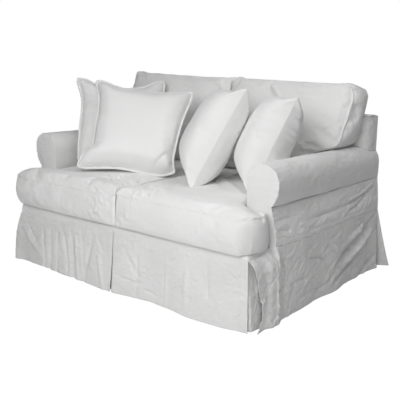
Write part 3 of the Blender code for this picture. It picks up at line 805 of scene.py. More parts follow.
frontPanels = {
    "inside": (0, 0, 0.15), "hemStep": 0.0009, "strength": 2.3, "calm": 0.5,
    "gathers": (71, 24, 35, 1.6),
    "folds": [  # in millimetres: width, depth, then points (x, height)
        (18, 2.6, (-729, 215), (-682, 128), (-601, 77), (-590, 10)),
        (10.5, -3.6, (-700, 235), (-655, 160), (-610, 120)),
        (12, -10, (-499, 275), (-512, 140), (-524, -80)),
        (9, -6, (-436, 262), (-448, 150), (-452, 20), (-452, -60)),
        (8, -6, (-262, 285), (-252, 160), (-243, 40)),
        (9, -6, (-560, 235), (-570, 140), (-560, 30), (-556, -60)),
        (10.5, -8, (-408, 268), (-385, 150), (-352, -30)),
        (10, -13, (-345, 275), (-331, 144), (-308, -90)),
        (10.5, 4, (-306, 270), (-293, 144), (-262, -90)),
        (7.5, 1.6, (-455, 262), (-440, 150), (-410, -70)),
        (16.5, -8, (-195, 298), (-185, 224), (-231, 60), (-240, -70)),
        (12, -4.5, (-148, 257), (-120, 215), (-96, 166)),
        (13.5, 6, (-140, 180), (-110, 100), (-70, -60)),
        (16, -3.2, (10, 262), (60, 190), (110, 130), (160, 76)),
        (7.5, -3.5, (-30, 95), (40, 82), (115, 75), (180, 85)),
        (9, -4.5, (147, 48), (200, 46), (259, 37)),
        (12, -5, (120, 240), (120, 120), (122, -60)),
        (7.5, 4.2, (306, 290), (304, 150), (300, -90)),
        (15, 4, (420, 260), (425, 130), (430, 0)),
        (15, -6, (536, 290), (536, 200), (537, 80)),
        (5.3, -2, (640, 232), (690, 230), (735, 236)),
        (5.3, -2, (630, 186), (690, 190), (740, 188)),
        (5.3, -1.8, (655, 158), (700, 162), (742, 156)),
    ],
    "smallFolds": (74, 150, 70, 34, 42, 6.5, 0.9, -800, 750, 10, 300),
}


def makeFrontSkirt(hand, topFrom, topTo, hemFrom, hemTo, look):
    leftHang, rightHang = look["hang"]

    def surface(u, v):
        topX, hemX = mix(topFrom, topTo, u), mix(hemFrom, hemTo, u)
        x = mix(hemX, topX, v ** mix(leftHang, rightHang, u))
        z = mix(cover["hemZ"], along(frontSeam, topX) - gap, v)
        out = along(frontHem, hemX) * (1 - v) ** 1.3
        return x, cover["frontY"] - out, z

    sheetPiece(f"skirt_front_{hand}", dict(skirtCloth, **look), surface, skirtRelief(look, 0))


makeFrontSkirt("L", -cover["earX"], -0.0352, -0.803, -0.034,
               dict(frontPanels, flat=(0.765, 0.290), grid=(190, 76), hang=(2.6, 1.6)))
makeFrontSkirt("R", -0.0328, cover["earX"], -0.021, cover["earX"] + 0.003,
               dict(frontPanels, flat=(0.770, 0.310), grid=(190, 76), hang=(0.45, 1.0)))

sidePanels = {
    "flat": (1.080, 0.330), "hemStep": 0.0009, "strength": 3.3, "calm": 0.6,
    "gathers": (81, 22, 30, 1.6),
    "folds": [  # in millimetres: width, depth, then points (y, height)
        (17.6, -12, (80, 80), (161, 133), (280, 179), (400, 235), (530, 300)),
        (13.6, 8, (200, 215), (340, 255), (460, 300), (520, 330)),
        (12.8, 6, (180, 95), (320, 155), (530, 240)),
        (14.4, -8.5, (350, -10), (430, 25), (519, 65), (540, 100)),
        (12.8, -7.5, (60, 28), (100, 44), (200, 68), (289, 99), (380, 150)),
        (9.6, -5, (-60, 30), (-42, 42), (69, 69), (120, 100)),
        (11.2, -6, (173, 320), (176, 260), (183, 205)),
        (11.2, -4, (-202, 53), (-90, 60), (22, 57)),
        (9.6, -4.5, (-150, 230), (-60, 215), (40, 180)),
        (9.6, -4, (-300, 140), (-200, 150), (-120, 135)),
        (9.6, 4, (10, 290), (80, 250), (140, 190)),
        (8, -4, (330, 310), (380, 280), (420, 262)),
        (8, -3.5, (-330, 290), (-305, 200), (-315, 80)),
        (4.2, 2.2, (-396, 345), (-396, 200), (-392, 80), (-392, -30)),
        (5, -2.6, (-384, 345), (-384, 200), (-380, 80), (-378, -30)),
        (12.8, -1.6, (-440, 300), (-448, 190), (-452, 80), (-446, 10)),
    ],
    "smallFolds": (84, 170, 28, 22, 40, 6.5, 1.5, -500, 550, 10, 320),
}


def makeSideSkirt(side, hand, look):
    ear, rear = cover["earX"], cover["backY"] - half - gap
    corners = (
        (ear, cover["frontY"] + 0.002),
        (ear, cover["facingY"]),
        (cover["armFootX"], cover["facingY"]),
        (cover["sideX"], cover["facingY"] + cover["armFlare"]),
        (cover["sideX"], rear),
    )
    slack = 0.0 if side > 0 else -0.010
    stepFrom = ear + 0.003
    flapTop, hemFront = flapEdge[-1][0] / 1000, flapEdge[0][1] / 1000

    def surface(u, v):
        share = u * (0.45 + 0.55 * u)
        topX, topY = roundedRoute(corners, 0.005, share)
        hemY = mix(hemFront, 0.552, share)
        edge = along(flapEdge, v * flapTop) - mix(hemFront, corners[0][1], v)
        y = mix(hemY, topY, v) + edge * np.maximum(0.0, 1 - u / 0.3) ** 2
        hemX = along(sideHem, y) + slack * (1 - u)
        beside = along(sideSeam, topY) - half
        ontoArm = np.clip((topX - stepFrom) / (cover["armFootX"] - stepFrom), 0, 1)
        z = mix(cover["hemZ"], mix(seamUnderEar(side, topY), beside, ontoArm) - gap, v)
        hang = mix(12.0, 0.8, eased((topY - cover["facingY"] + 0.004) / 0.050))
        return side * mix(hemX, topX, v**hang), y, z

    look["inside"] = (side * 0.5, 0, 0.15)
    sheetPiece(f"skirt_side_{hand}", dict(skirtCloth, **look), surface, skirtRelief(look, 1))


makeSideSkirt(1, "R", dict(sidePanels, grid=(240, 76)))
makeSideSkirt(-1, "L", dict(sidePanels, grid=(120, 40)))

rearPanel = {
    "flat": (1.640, 0.330), "grid": (180, 40), "inside": (0, 0, 0.15), "hemStep": 0.0007,
    "strength": 1.0, "calm": 0.0, "endsHeld": True,  # its folds fade out towards both ends
    "hemHalf": 0.858, "flareFrom": 0.80,
    "gathers": (91, 26, 35, 1.8),
    "folds": [  # in millimetres: width, depth, then points (x, height)
        (26, -8, (-640, 290), (-655, 150), (-690, 0)),
        (20, 6, (-560, 280), (-555, 150), (-570, 0)),
        (24, -7, (-380, 290), (-372, 160), (-390, 0)),
        (16, -5, (-180, 250), (-150, 140), (-170, 10)),
        (22, 6, (-60, 280), (-40, 150), (-30, 0)),
        (24, -8, (140, 290), (150, 160), (130, 0)),
        (18, 5, (330, 270), (345, 150), (350, 0)),
        (24, -7.5, (480, 290), (500, 160), (520, 0)),
        (22, -6, (660, 280), (680, 150), (720, 0)),
        (12, -3.5, (-500, 120), (-430, 100), (-340, 130)),
        (12, -3.5, (220, 90), (310, 110), (420, 80)),
    ],
    "smallFolds": (94, 120, 80, 34, 50, 10, 1.4, -840, 840, 10, 310),
}


def makeBackSkirt(look):
    def surface(u, v):
        a = 2 * u - 1
        topX = a * (cover["sideX"] + half)
        flare = np.maximum(0.0, (np.abs(a) - look["flareFrom"]) / (1 - look["flareFrom"]))
        hemX = a * 0.800 + np.sign(a) * (look["hemHalf"] - 0.800) * flare
        z = mix(cover["hemZ"] + 0.020 * flare**2, along(sideSeam, np.array(cover["backY"])) - half - gap, v)
        wave = 0.008 * np.sin(a * 9.0 + 0.7) + 0.005 * np.sin(a * 17.0)
        out = (0.018 + wave * (1 - flare) + 0.014 * flare) * (1 - v) ** 1.1
        return mix(hemX, topX, v**0.9), cover["backY"] + out, z

    sheetPiece("skirt_back", dict(skirtCloth, **look), surface, skirtRelief(look, 0))


makeBackSkirt(rearPanel)

pleatPanels = {
    "slot": "skirt_cotton", "held": "folded", "stitched": ("foot",), "inset": 0.0056, "strength": 1.3,
    "smallFolds": (97, 40, 88, 6, 90, 4, 1.8, 0, 200, 0, 300),
}


def makePleats(look):
    inset, ear = look["inset"], cover["earX"]

    def relief(u, v, grid):
        width, length = 0.16, 0.30
        return look["strength"] * smallFolds(u * width, v * length, look["smallFolds"]) * eased((1 - v) * 4)

    def centre(u, v):
        x = mix(-0.105, 0.035, u)
        z = mix(cover["hemZ"] + 0.001, along(frontSeam, x) - 0.004, v)
        return x, cover["frontY"] + 2 * inset - 0.020 * (1 - v), z

    sheetPiece("pleat_centre", dict(look, flat=(0.140, 0.280), grid=(24, 40), inside=(0, 0, 0.15)),
               centre, relief)

    for side, hand in ((-1, "L"), (1, "R")):
        corners = (
            (ear - 0.080, cover["frontY"] + inset),
            (ear - 0.012, cover["frontY"] + inset),
            (ear - inset, cover["frontY"] + 0.062),
            (ear - inset, cover["frontY"] + 0.112),
        )

        def corner(u, v):
            x, y = roundedRoute(corners, 0.006, u)
            z = mix(cover["hemZ"] + 0.006, along(frontSeam, np.array(side * ear)) - 0.004, v)
            spread = 0.028 * (1 - v) ** 0.7 * eased((u - 0.16) / 0.24)
            pulled = 0.010 * (1 - v) * (1 if side < 0 else 0.3)
            return side * (x + spread - pulled), y + pulled, z

        here = dict(look, flat=(0.190, 0.290), grid=(60, 40), inside=(side * 0.6, -0.4, 0.15))
        sheetPiece(f"pleat_corner_{hand}", here, corner, relief)


makePleats(pleatPanels)
print("skirt made")


# filled covers


def filledForm(name, form, aStops, bStops, cStops, sizes):
    # two panels, c = 1 and c = -1, and the strip between them, all moved to form(a, b, c).
    # sizes are the panel's width and length and the strip's width, for the grain of the cloth.
    nA, nB = len(aStops) - 1, len(bStops) - 1
    a, b = np.meshgrid(aStops, bStops, indexing="ij")
    panel = np.stack([a, b, np.ones_like(a)], -1).reshape(-1, 3)
    count = len(panel)
    ring = [(i, 0) for i in range(nA)] + [(nA, j) for j in range(nB)]
    ring += [(i, nB) for i in range(nA, 0, -1)] + [(0, j) for j in range(nB, 0, -1)]
    onPanel = np.array([i * (nB + 1) + j for i, j in ring])
    layers = [onPanel]
    places = [panel, panel * (1, 1, -1)]
    start = 2 * count
    for c in cStops[1:-1]:
        layers.append(np.arange(start, start + len(ring)))
        places.append(np.column_stack([panel[onPanel, 0], panel[onPanel, 1], np.full(len(ring), c)]))
        start += len(ring)
    layers.append(onPanel + count)
    place = np.concatenate(places)
    faces = [gridFaces(nA, nB), gridFaces(nA, nB, count)[:, ::-1]]
    width, length, deep = sizes
    flat = place[:, :2] * (width / 2, length / 2)
    edgeAway = np.minimum((1 - np.abs(place[:, 0])) * width / 2, (1 - np.abs(place[:, 1])) * length / 2)
    byWidth = (1 - np.abs(place[:, 0])) * width < (1 - np.abs(place[:, 1])) * length
    runs = np.where(byWidth, flat[:, 1], flat[:, 0])
    grainMap = [flat[f.ravel()] for f in faces]
    seamMap = [np.column_stack([runs, edgeAway])[f.ravel()] for f in faces]
    loop = np.append(flat[onPanel], flat[onPanel[:1]], 0)
    marks = lengthsAlong(loop)
    for low, high, cHigh, cLow in zip(layers, layers[1:], cStops, cStops[1:]):
        nextLow, nextHigh = np.roll(low, -1), np.roll(high, -1)
        faces.append(np.stack([low, high, nextHigh, nextLow], -1))
        highAt, lowAt = np.full(len(ring), cHigh), np.full(len(ring), cLow)
        corner = [(marks[:-1], highAt), (marks[:-1], lowAt), (marks[1:], lowAt), (marks[1:], highAt)]
        grainMap.append(np.stack([np.stack([m, c * deep / 2], -1) for m, c in corner], 1).reshape(-1, 2))
        away = [(m, (1 - np.abs(c)) * deep / 2) for m, c in corner]
        seamMap.append(np.stack([np.stack(x, -1) for x in away], 1).reshape(-1, 2))
    points = np.stack(form(place[:, 0], place[:, 1], place[:, 2]), -1)
    piece = meshOf(name, points, np.concatenate(faces),
                   {"grain": np.concatenate(grainMap), "seam": np.concatenate(seamMap)})
    mark = piece.data.attributes.new("place", "FLOAT_VECTOR", "POINT")
    mark.data.foreach_set("vector", place.astype(np.float32).ravel())
    turnedOut(piece.data)
    return piece


def vectors(items, key):
    # one vector for each of a mesh's items
    values = np.zeros(len(items) * 3, np.float32)
    items.foreach_get(key, values)
    return values.reshape(-1, 3).astype(float)


def pointsOf(mesh):
    return vectors(mesh.vertices, "co")


def normalsOf(mesh):
    return vectors(mesh.vertex_normals, "vector")


def placesOf(mesh):
    return vectors(mesh.attributes["place"].data, "vector")


def setPoints(mesh, points):
    mesh.vertices.foreach_set("co", points.astype(np.float32).ravel())
    mesh.update()


def addPressure(piece, look):
    # the filling pushes the cloth out, while the seams stay a little tight
    place = placesOf(piece.data)
    seam = piece.vertex_groups.new(name="seam")
    weights = np.exp(-(look["seamAway"](place) / look["seamReach"]) ** 2)
    for index in np.flatnonzero(weights > 0.02):
        seam.add([int(index)], float(weights[index]), "REPLACE")
    held = piece.vertex_groups.new(name="held")
    for index in np.flatnonzero(place[:, 2] < look["heldBelow"]):
        held.add([int(index)], 1.0, "REPLACE")
    cloth = piece.modifiers.new("filling", "CLOTH")
    settings = dict(
        quality=4, mass=0.3, tension_stiffness=20.0, compression_stiffness=12.0, shear_stiffness=6.0,
        bending_stiffness=look["bending"], use_pressure=True, uniform_pressure_force=look["pressure"],
        vertex_group_mass="held", vertex_group_shrink="seam", shrink_min=look["growth"],
        shrink_max=look["tightness"],
    )
    for key, value in settings.items():
        setattr(cloth.settings, key, value)
    cloth.settings.effector_weights.gravity = 0.0
    cloth.collision_settings.use_collision = False
    cloth.collision_settings.use_self_collision = False


def applyPressure(piece, look):
    start = pointsOf(piece.data)
    view = bpy.context.evaluated_depsgraph_get()
    end = pointsOf(piece.evaluated_get(view).data)
    moved = end - start
    length = np.linalg.norm(moved, axis=1, keepdims=True)
    moved *= np.minimum(1.0, look["cap"] / np.maximum(length, 1e-9))
    start = start + moved
    piece.modifiers.clear()
    setPoints(piece.data, look["within"](start, placesOf(piece.data)))


def smoothed(piece):
    finer = piece.modifiers.new("finer", "SUBSURF")
    finer.levels = finer.render_levels = 1
    view = bpy.context.evaluated_depsgraph_get()
    mesh = bpy.data.meshes.new_from_object(piece.evaluated_get(view))
    old = piece.data
    piece.modifiers.clear()
    piece.data = mesh
    mesh.name = piece.name
    bpy.data.meshes.remove(old)
    mesh.shade_smooth()


def roundedCorner(x, y, cornerX, cornerY, reach, towardsX, towardsY):
    # bends a square corner of a plan into a round one that reaches so far along x and y
    alongX, alongY = reach
    dx = np.clip((x - (cornerX - towardsX * alongX)) * towardsX / alongX, 0, 1)
    dy = np.clip((y - (cornerY - towardsY * alongY)) * towardsY / alongY, 0, 1)
    newX = x - towardsX * alongX * dx * (1 - np.sqrt(1 - dy**2 / 2))
    newY = y - towardsY * alongY * dy * (1 - np.sqrt(1 - dx**2 / 2))
    return newX, newY


def stops(*runs):
    # -1 to 1 in runs of (share of the way, steps)
    total = sum(share for share, _ in runs)
    out, at = [-1.0], 0.0
    for share, steps in runs:
        for i in range(1, steps + 1):
            out.append(-1 + 2 * (at + share * i / steps) / total)
        at += share
    out[-1] = 1.0
    return np.array(out)


seatCushion = {
    "split": -0.010, "clear": 0.0002, "lowest": 0.3330, "lowestInFront": 0.3200, "armAir": 0.004,
    "crown": 0.017, "innerCrown": 0.5, "frontBulge": 0.018, "sideBulge": 0.006,
    "softEdge": {"L": 0.016, "R": 0.005},  # how far the upper front edge sinks
    "overhang": {"L": 0.024, "R": 0.0},  # how far the end in front of the arm stands out
    "droop": {"L": 0.016, "R": 0.002},  # and how far its corner sinks
    "corner": {"L": (0.045, 0.105), "R": (0.065, 0.120)},
    "belly": {"L": 0.004, "R": 0.001},  # how far the middle of the lower front edge hangs
    "rows": [  # y, half width of the T, height of the underside, of the top seam, steps to the next row
        (-0.558, 0.757, 0.3255, 0.482, 5), (-0.543, 0.757, 0.3350, 0.487, 6),
        (-0.500, 0.757, 0.3340, 0.487, 6), (-0.448, 0.756, 0.3340, 0.486, 4),
        (-0.405, 0.748, 0.3340, 0.484, 3), (-0.393, 0.611, 0.3340, 0.486, 10),
        (-0.250, 0.612, 0.3340, 0.487, 12), (-0.050, 0.612, 0.3340, 0.486, 10),
        (0.150, 0.612, 0.3340, 0.487, 10), (0.340, 0.606, 0.3340, 0.482, 0),
    ],
    "pressure": 3.0, "bending": 0.6, "growth": -0.022, "tightness": 0.015, "seamReach": 0.012, "cap": 0.013,
    "heldBelow": -0.9,  # the panel it rests on stays as it is
    "welt": 0.0012, "gathers": (16, 22, 1.6),
    "puckers": (45, 50, 1.4),
    "creases": [  # small folds on the top and on the front, most of them by the split
        ((0, 1), (101, 46, 150, 26, 36, 8, 13, -260, 240, -560, -340)),
        ((0, 2), (102, 30, 130, 34, 30, 9, 7, -200, 100, 350, 480)),
        ((0, 1), (103, 40, 150, 30, 80, 13, 3, -580, 600, -500, 200)),
    ],
    "folds": {  # in millimetres: width, depth, then points
        "L": [
            (7, -5, (-165, -553, 490), (-110, -566, 470), (-60, -568, 462)),
            (7, -5, (-125, -548, 492), (-70, -560, 480), (-12, -566, 474)),
            (6, 3.5, (-140, -562, 478), (-90, -568, 464), (-40, -570, 455)),
            (6, -4.5, (-150, -568, 362), (-100, -568, 368), (-50, -566, 358), (0, -566, 362)),
            (6, -3, (-110, -569, 378), (-60, -569, 372), (-12, -568, 376)),
            (50, -6, (-450, -570, 440), (-250, -570, 410), (-120, -570, 400)),
            (30, 5, (-600, -480, 495), (-350, -450, 500), (-150, -400, 500)),
            (20, -4, (-500, -400, 500), (-380, -330, 500), (-200, -300, 500)),
        ],
        "R": [
            (6, -4, (10, -540, 492), (50, -520, 494), (110, -535, 493), (180, -515, 495)),
            (7, -4, (0, -500, 494), (60, -490, 496), (120, -500, 496)),
            (6, -3.5, (10, -566, 480), (60, -568, 470), (110, -568, 474)),
            (7, -4.5, (10, -566, 382), (80, -568, 366), (150, -568, 368)),
            (18, 6, (150, -20, 500), (280, -112, 500), (443, -227, 500), (590, -350, 498)),
            (14, -5, (200, -110, 500), (330, -200, 500), (480, -310, 500)),
            (8, -4, (640, -565, 482), (700, -560, 480), (748, -530, 482)),
            (6, -3, (757, -425, 470), (760, -425, 420), (760, -425, 370)),
        ],
    },
}
backCushion = {
    "split": 0.002, "clear": 0.0012, "lowest": 0.5015, "crown": 0.024,
    "lift": {"L": (0.009, 0.020), "R": (0.014, 0.008)},  # how far the top rises, inside and outside
    "outerCorner": {"L": (0.022, 0.030), "R": (0.085, 0.085)},
    "rows": [  # front height and y, back height and y, half width, steps to the next row
        (0.5030, 0.158, 0.5030, 0.330, 0.590, 4), (0.5450, 0.166, 0.5450, 0.354, 0.608, 8),
        (0.6380, 0.192, 0.6380, 0.378, 0.610, 4), (0.6660, 0.204, 0.6640, 0.383, 0.728, 7),
        (0.7600, 0.250, 0.7600, 0.418, 0.737, 8), (0.8500, 0.300, 0.8500, 0.455, 0.738, 6),
        (0.9150, 0.334, 0.9050, 0.474, 0.738, 5), (0.9600, 0.352, 0.9330, 0.478, 0.730, 0),
    ],
    "pressure": 2.0, "bending": 0.8, "growth": -0.020, "tightness": 0.01, "seamReach": 0.012, "cap": 0.011,
    "heldBelow": -0.9,  # the panel it rests on stays as it is
    "welt": 0.0034, "gathers": (18, 30, 2.4),
    "puckers": (50, 60, 2.4),
    "creases": [
        ((0, 2), (111, 40, 160, 30, 70, 12, 2.8, -720, 720, 660, 950)),
    ],
    "folds": {
        "L": [
            (12, -6, (-700, 325, 960), (-620, 318, 940), (-560, 322, 950)),
            (10, 5, (-110, 318, 930), (-60, 315, 925), (-20, 300, 886)),
            (12, -5, (-360, 312, 913), (-280, 306, 900), (-196, 303, 893)),
            (30, -6, (-250, 290, 850), (-150, 270, 800), (-80, 240, 740)),
        ],
        "R": [
            (8, 14, (262, 322, 945), (285, 314, 925), (309, 306, 907), (341, 294, 879), (352, 288, 862)),
            (8, -8, (285, 322, 945), (312, 314, 925), (338, 304, 902)),
            (9, -6, (245, 316, 930), (272, 306, 905), (315, 292, 872)),
            (10, 6, (530, 196, 650), (586, 203, 662), (640, 199, 652)),
            (9, -6, (520, 206, 672), (580, 210, 680), (650, 206, 672)),
            (8, -7, (650, 200, 655), (676, 206, 665), (700, 206, 668)),
            (14, -4, (600, 235, 735), (660, 225, 715), (715, 215, 690)),
            (16, -4.5, (400, 300, 900), (520, 300, 900), (640, 300, 895)),
            (8, -5, (748, 330, 880), (750, 340, 800), (750, 350, 720)),
            (8, 4, (748, 300, 870), (750, 300, 790), (748, 290, 710)),
            (7, -4, (746, 400, 860), (748, 390, 800), (748, 380, 740)),
        ],
    },
}


def readRows(rows):
    # the stops along a cushion's rows, from -1 to 1, and how a column of them reads at b
    last = len(rows) - 1
    marks = [number + i / row[-1] for number, row in enumerate(rows[:-1]) for i in range(row[-1])]
    table = np.array(rows, float)

    def column(number, b):
        return np.interp((b + 1) / 2 * last, np.arange(last + 1), table[:, number])

    return np.append(marks, last) / last * 2 - 1, column


def boxedSeam(*spans):
    # how far a place lies from the nearest sewn edge: half the panel's width and length, half the strip
    def away(place):
        a, b, c = np.abs(place).T
        onPanel = np.minimum((1 - a) * spans[0], (1 - b) * spans[1])
        return np.where(c > 0.999, onPanel, (1 - c) * spans[2])

    return away


def makeSeatCushion(side, hand, look):
    inner = side * look["split"] + look["clear"]
    bStops, column = readRows(look["rows"])
    frontY, frontX = look["rows"][0][:2]

    def form(a, b, c):
        y, outer, under, seam = (column(i, b) for i in range(4))
        beyond = look["overhang"][hand] * (1 - np.maximum(0.0, -c) ** 2)
        x = mix(inner, outer + beyond * np.clip((outer - 0.65) / 0.10, 0, 1), (a + 1) / 2)
        x, y = roundedCorner(x, y, frontX + beyond, frontY, look["corner"][hand], 1, -1)
        x, y = roundedCorner(x, y, inner, frontY, (0.012, 0.012), -1, -1)
        bulge = np.cos(c * np.pi / 2)
        onFront = np.clip(1 - (b + 1) * 12, 0, 1)
        y = y - look["frontBulge"] * bulge * onFront * (1 - a**6)
        y = y + 0.004 * np.clip((-c - 0.5) / 0.5, 0, 1) ** 2 * onFront
        x = x + np.where(a > 0.999, look["sideBulge"] * bulge * np.where(outer > 0.7, 1, 0.3), 0)
        crown = look["crown"] * (1 - np.where(a < 0, look["innerCrown"], 1) * a**4) * (1 - b**4)
        sunk = look["softEdge"][hand] * np.exp(-((y - frontY) / 0.014) ** 2) * np.maximum(0.0, c)
        atCorner = np.maximum(0.0, a) ** 8 * np.exp(-((y - frontY) / 0.10) ** 2)
        sunk = sunk + look["droop"][hand] * atCorner * (c + 1) / 2
        sunk = sunk + look["belly"][hand] * (1 - a * a) * onFront * (1 - c) / 2
        z = mix(under, seam, (c + 1) / 2) + np.where(c > 0.999, crown, 0) - sunk
        return side * x, y, z

    aStops = stops((0.006, 1), (0.010, 1), (0.200, 30), (0.508, 36), (0.010, 1), (0.006, 1))
    cStops = np.concatenate([[1.0, 0.93], np.linspace(0.80, -0.80, 9), [-0.93, -1.0]])
    piece = filledForm(f"seat_cushion_{hand}", form, aStops, bStops, cStops, (0.745, 0.900, 0.155))

    def within(points, place):
        x = np.maximum(points[:, 0] * side, inner)
        narrow = (column(1, place[:, 1]) < 0.7) & (place[:, 0] > 0.5)
        points[:, 0] = side * np.where(narrow, np.minimum(x, cover["cushionX"]), x)
        beforeArm = cover["facingY"] - look["armAir"]
        onArm = ~narrow & (points[:, 1] > beforeArm) & (x > 0.612)
        points[:, 1] = np.where(onArm, beforeArm, points[:, 1])
        overFront = points[:, 1] < cover["frontY"] - 0.006
        points[:, 2] = np.maximum(points[:, 2], np.where(overFront, look["lowestInFront"], look["lowest"]))
        return points

    look = dict(look, seamAway=boxedSeam(0.37, 0.45, 0.077), within=within, hand=hand)
    addPressure(piece, look)
    return piece, look


def makeBackCushion(side, hand, look):
    inner = side * look["split"] + look["clear"]
    bStops, column = readRows(look["rows"])

    def form(a, b, c):
        frontZ, frontY, rearZ, rearY, outer = (column(i, b) for i in range(5))
        x = mix(inner, outer, (a + 1) / 2)
        share = (c + 1) / 2
        y, z = mix(rearY, frontY, share), mix(rearZ, frontZ, share)
        x, z = roundedCorner(x, z, 0.738, 0.960, look["outerCorner"][hand], 1, 1)
        x, z = roundedCorner(x, z, inner, 0.960, (0.022, 0.022), -1, 1)
        x, z = roundedCorner(x, z, 0.735, 0.665, (0.050, 0.040), 1, -1)
        crown = look["crown"] * (1 - a**4) * (1 - b**4)
        y = y - np.where(c > 0.999, crown, 0)
        strip = np.where(np.abs(c) < 0.999, np.cos(c * np.pi / 2), 0)
        z = z + np.where(b > 0.999, 0.010 * strip, 0)
        x = x + np.where(a > 0.999, 0.004 * strip, 0)
        raised = mix(*look["lift"][hand], (a + 1) / 2)
        return side * x, y, z + raised * np.maximum(0.0, b)

    aStops = stops((0.006, 1), (0.010, 1), (0.70, 54), (0.010, 1), (0.006, 1))
    cStops = np.concatenate([[1.0, 0.93], np.linspace(0.80, -0.80, 10), [-0.93, -1.0]])
    piece = filledForm(f"back_cushion_{hand}", form, aStops, bStops, cStops, (0.730, 0.480, 0.160))

    def within(points, place):
        x = np.maximum(points[:, 0] * side, inner)
        narrow = (column(4, place[:, 1]) < 0.62) & (place[:, 0] > 0.5)
        points[:, 0] = side * np.where(narrow, np.minimum(x, cover["cushionX"]), x)
        points[:, 2] = np.maximum(points[:, 2], look["lowest"])
        return points

    look = dict(look, seamAway=boxedSeam(0.36, 0.24, 0.080), within=within, hand=hand)
    addPressure(piece, look)
    return piece, look


# the seam of each pillow in its own plane: left and right by height, foot and head by place across,
# each row a place in hundredths of the way and millimetres.
pillows = {
    1: {
        "middle": (-0.473, -0.038, 0.738), "turn": 52.5, "lean": -35.4, "roll": 4.1, "half": 0.244,
        "thickness": 0.130, "piped": True, "round": 0.002, "settled": 0.36, "tucked": 0.022,
        "plump": (3.4, 0.46),
        "left": [(-100, -238), (-30, -232), (0, -224), (30, -217), (55, -219), (85, -240), (100, -248)],
        "right": [(-100, 244), (-50, 224), (30, 224), (75, 245), (100, 252)],
        "foot": [(-100, -244), (-50, -226), (50, -226), (100, -244)],
        "head": [(-100, 248), (-85, 247), (-55, 212), (0, 192), (50, 212), (80, 246), (100, 254)],
        "folds": [],
    },
    2: {
        "middle": (-0.255, -0.152, 0.733), "turn": 37.5, "lean": -40.5, "roll": 5.5, "half": 0.250,
        "thickness": 0.145, "piped": True, "round": 0.002, "settled": 0.36, "tucked": 0.022,
        "plump": (3.4, 0.46),
        "left": [
            (-100, -256), (-92, -256), (-75, -234), (-62, -210), (-50, -200), (-25, -208),
            (0, -214), (25, -212), (55, -224), (90, -252), (100, -258),
        ],
        "right": [
            (-100, 236), (-80, 222), (-50, 224), (-20, 229), (10, 235), (45, 250), (80, 271),
            (100, 276),
        ],
        "foot": [
            (-100, -262), (-88, -269), (-70, -262), (-50, -255), (-15, -248), (30, -261),
            (60, -273), (85, -268), (100, -246),
        ],
        "head": [
            (-100, 264), (-88, 266), (-75, 254), (-60, 239), (-45, 229), (0, 219), (20, 215),
            (75, 231), (100, 238),
        ],
        "folds": [  # in millimetres: width, depth, then points in the pillow's plane
            (10, -4, (225, 70), (195, 55), (160, 50)),
            (10, -4, (220, 20), (190, 0), (155, -10)),
            (10, -4, (215, -40), (185, -65), (150, -75)),
            (10, -4.5, (215, -90), (185, -115), (155, -120)),
            (10, -6, (215, -150), (180, -190), (165, -235)),
            (10, 6, (235, -180), (200, -215), (190, -250)),
            (8, -6, (195, -170), (150, -225), (130, -250)),
            (12, -4, (-200, -130), (-170, -160), (-175, -200)),
            (12, -3.5, (-120, 190), (-70, 180), (0, 185)),
        ],
    },
    3: {
        "middle": (0.203, -0.073, 0.731), "turn": -48.0, "lean": -29.0, "roll": 0.0, "half": 0.250,
        "thickness": 0.200, "piped": False, "round": 0.0, "settled": 0.26, "plump": (3.0, 0.54),
        "fuller": 0.24,  # how much more its front bulges than its rear
        "left": [(-100, -248), (-50, -232), (30, -220), (70, -204), (100, -182)],
        "right": [(-100, 262), (-85, 250), (-50, 240), (0, 236), (60, 240), (85, 248), (100, 264)],
        "foot": [(-100, -230), (0, -226), (60, -232), (85, -244), (100, -270)],
        "head": [(-100, 186), (-60, 220), (-20, 229), (40, 231), (75, 237), (90, 248), (100, 272)],
        "folds": [
            (10, -3, (130, 150), (70, 130), (10, 135)),
            (10, -3, (150, -120), (90, -160), (60, -190)),
        ],
        "rearFolds": [
            (8, -4.5, (230, 110), (195, 100), (160, 102)),
            (8, -4.5, (227, 80), (190, 68), (150, 70)),
        ],
    },
    4: {
        "middle": (0.486, -0.026, 0.730), "turn": -50.0, "lean": -24.5, "roll": 0.0, "half": 0.248,
        "thickness": 0.216, "piped": False, "round": 0.0, "settled": 0.14, "plump": (3.0, 0.56),
        "fuller": 0.12,
        "left": [(-100, -230), (-50, -210), (30, -204), (70, -184), (100, -155)],
        "right": [(-100, 255), (-85, 243), (0, 231), (60, 233), (85, 240), (100, 248)],
        "foot": [(-100, -228), (0, -225), (60, -231), (85, -241), (100, -260)],
        "head": [(-100, 145), (-60, 185), (-20, 200), (40, 207), (75, 213), (90, 220), (100, 233)],
        "folds": [
            (9, -4, (222, 80), (170, 62), (120, 60)),
            (9, -4, (222, 30), (170, 10), (130, 5)),
            (10, -3, (150, 160), (80, 150), (20, 165)),
        ],
        "rearFolds": [
            (7, -6, (226, 105), (190, 90), (150, 90)),
            (7, -6, (226, 78), (185, 62), (145, 60)),
            (7, -5.5, (224, 48), (190, 34), (150, 30)),
            (7, -5, (226, 150), (195, 140), (170, 142)),
            (8, -5, (226, -20), (190, -35), (150, -30)),
        ],
    },
}
pillowCloth = {
    "edge": 0.008, "steps": 42, "gathers": (19, 26, 2.0), "puckers": (45, 70, 2.2),
    "pipingRadius": 0.0064, "pipingSteps": 56, "pipingSides": 12,
    "pressure": 3.0, "bending": 0.6, "growth": -0.018, "tightness": -0.004, "seamReach": 0.014,
    "cap": 0.008, "heldBelow": -2, "lowest": 0.4885,
}


def seamLine(table, t):
    # a place on the seam from a table of hundredths and millimetres, with its bends softened
    rows = np.array(table) / (100, 1000)
    return sum(np.interp(np.clip(t + step, -1, 1), *rows.T) for step in (-0.07, 0, 0.07)) / 3


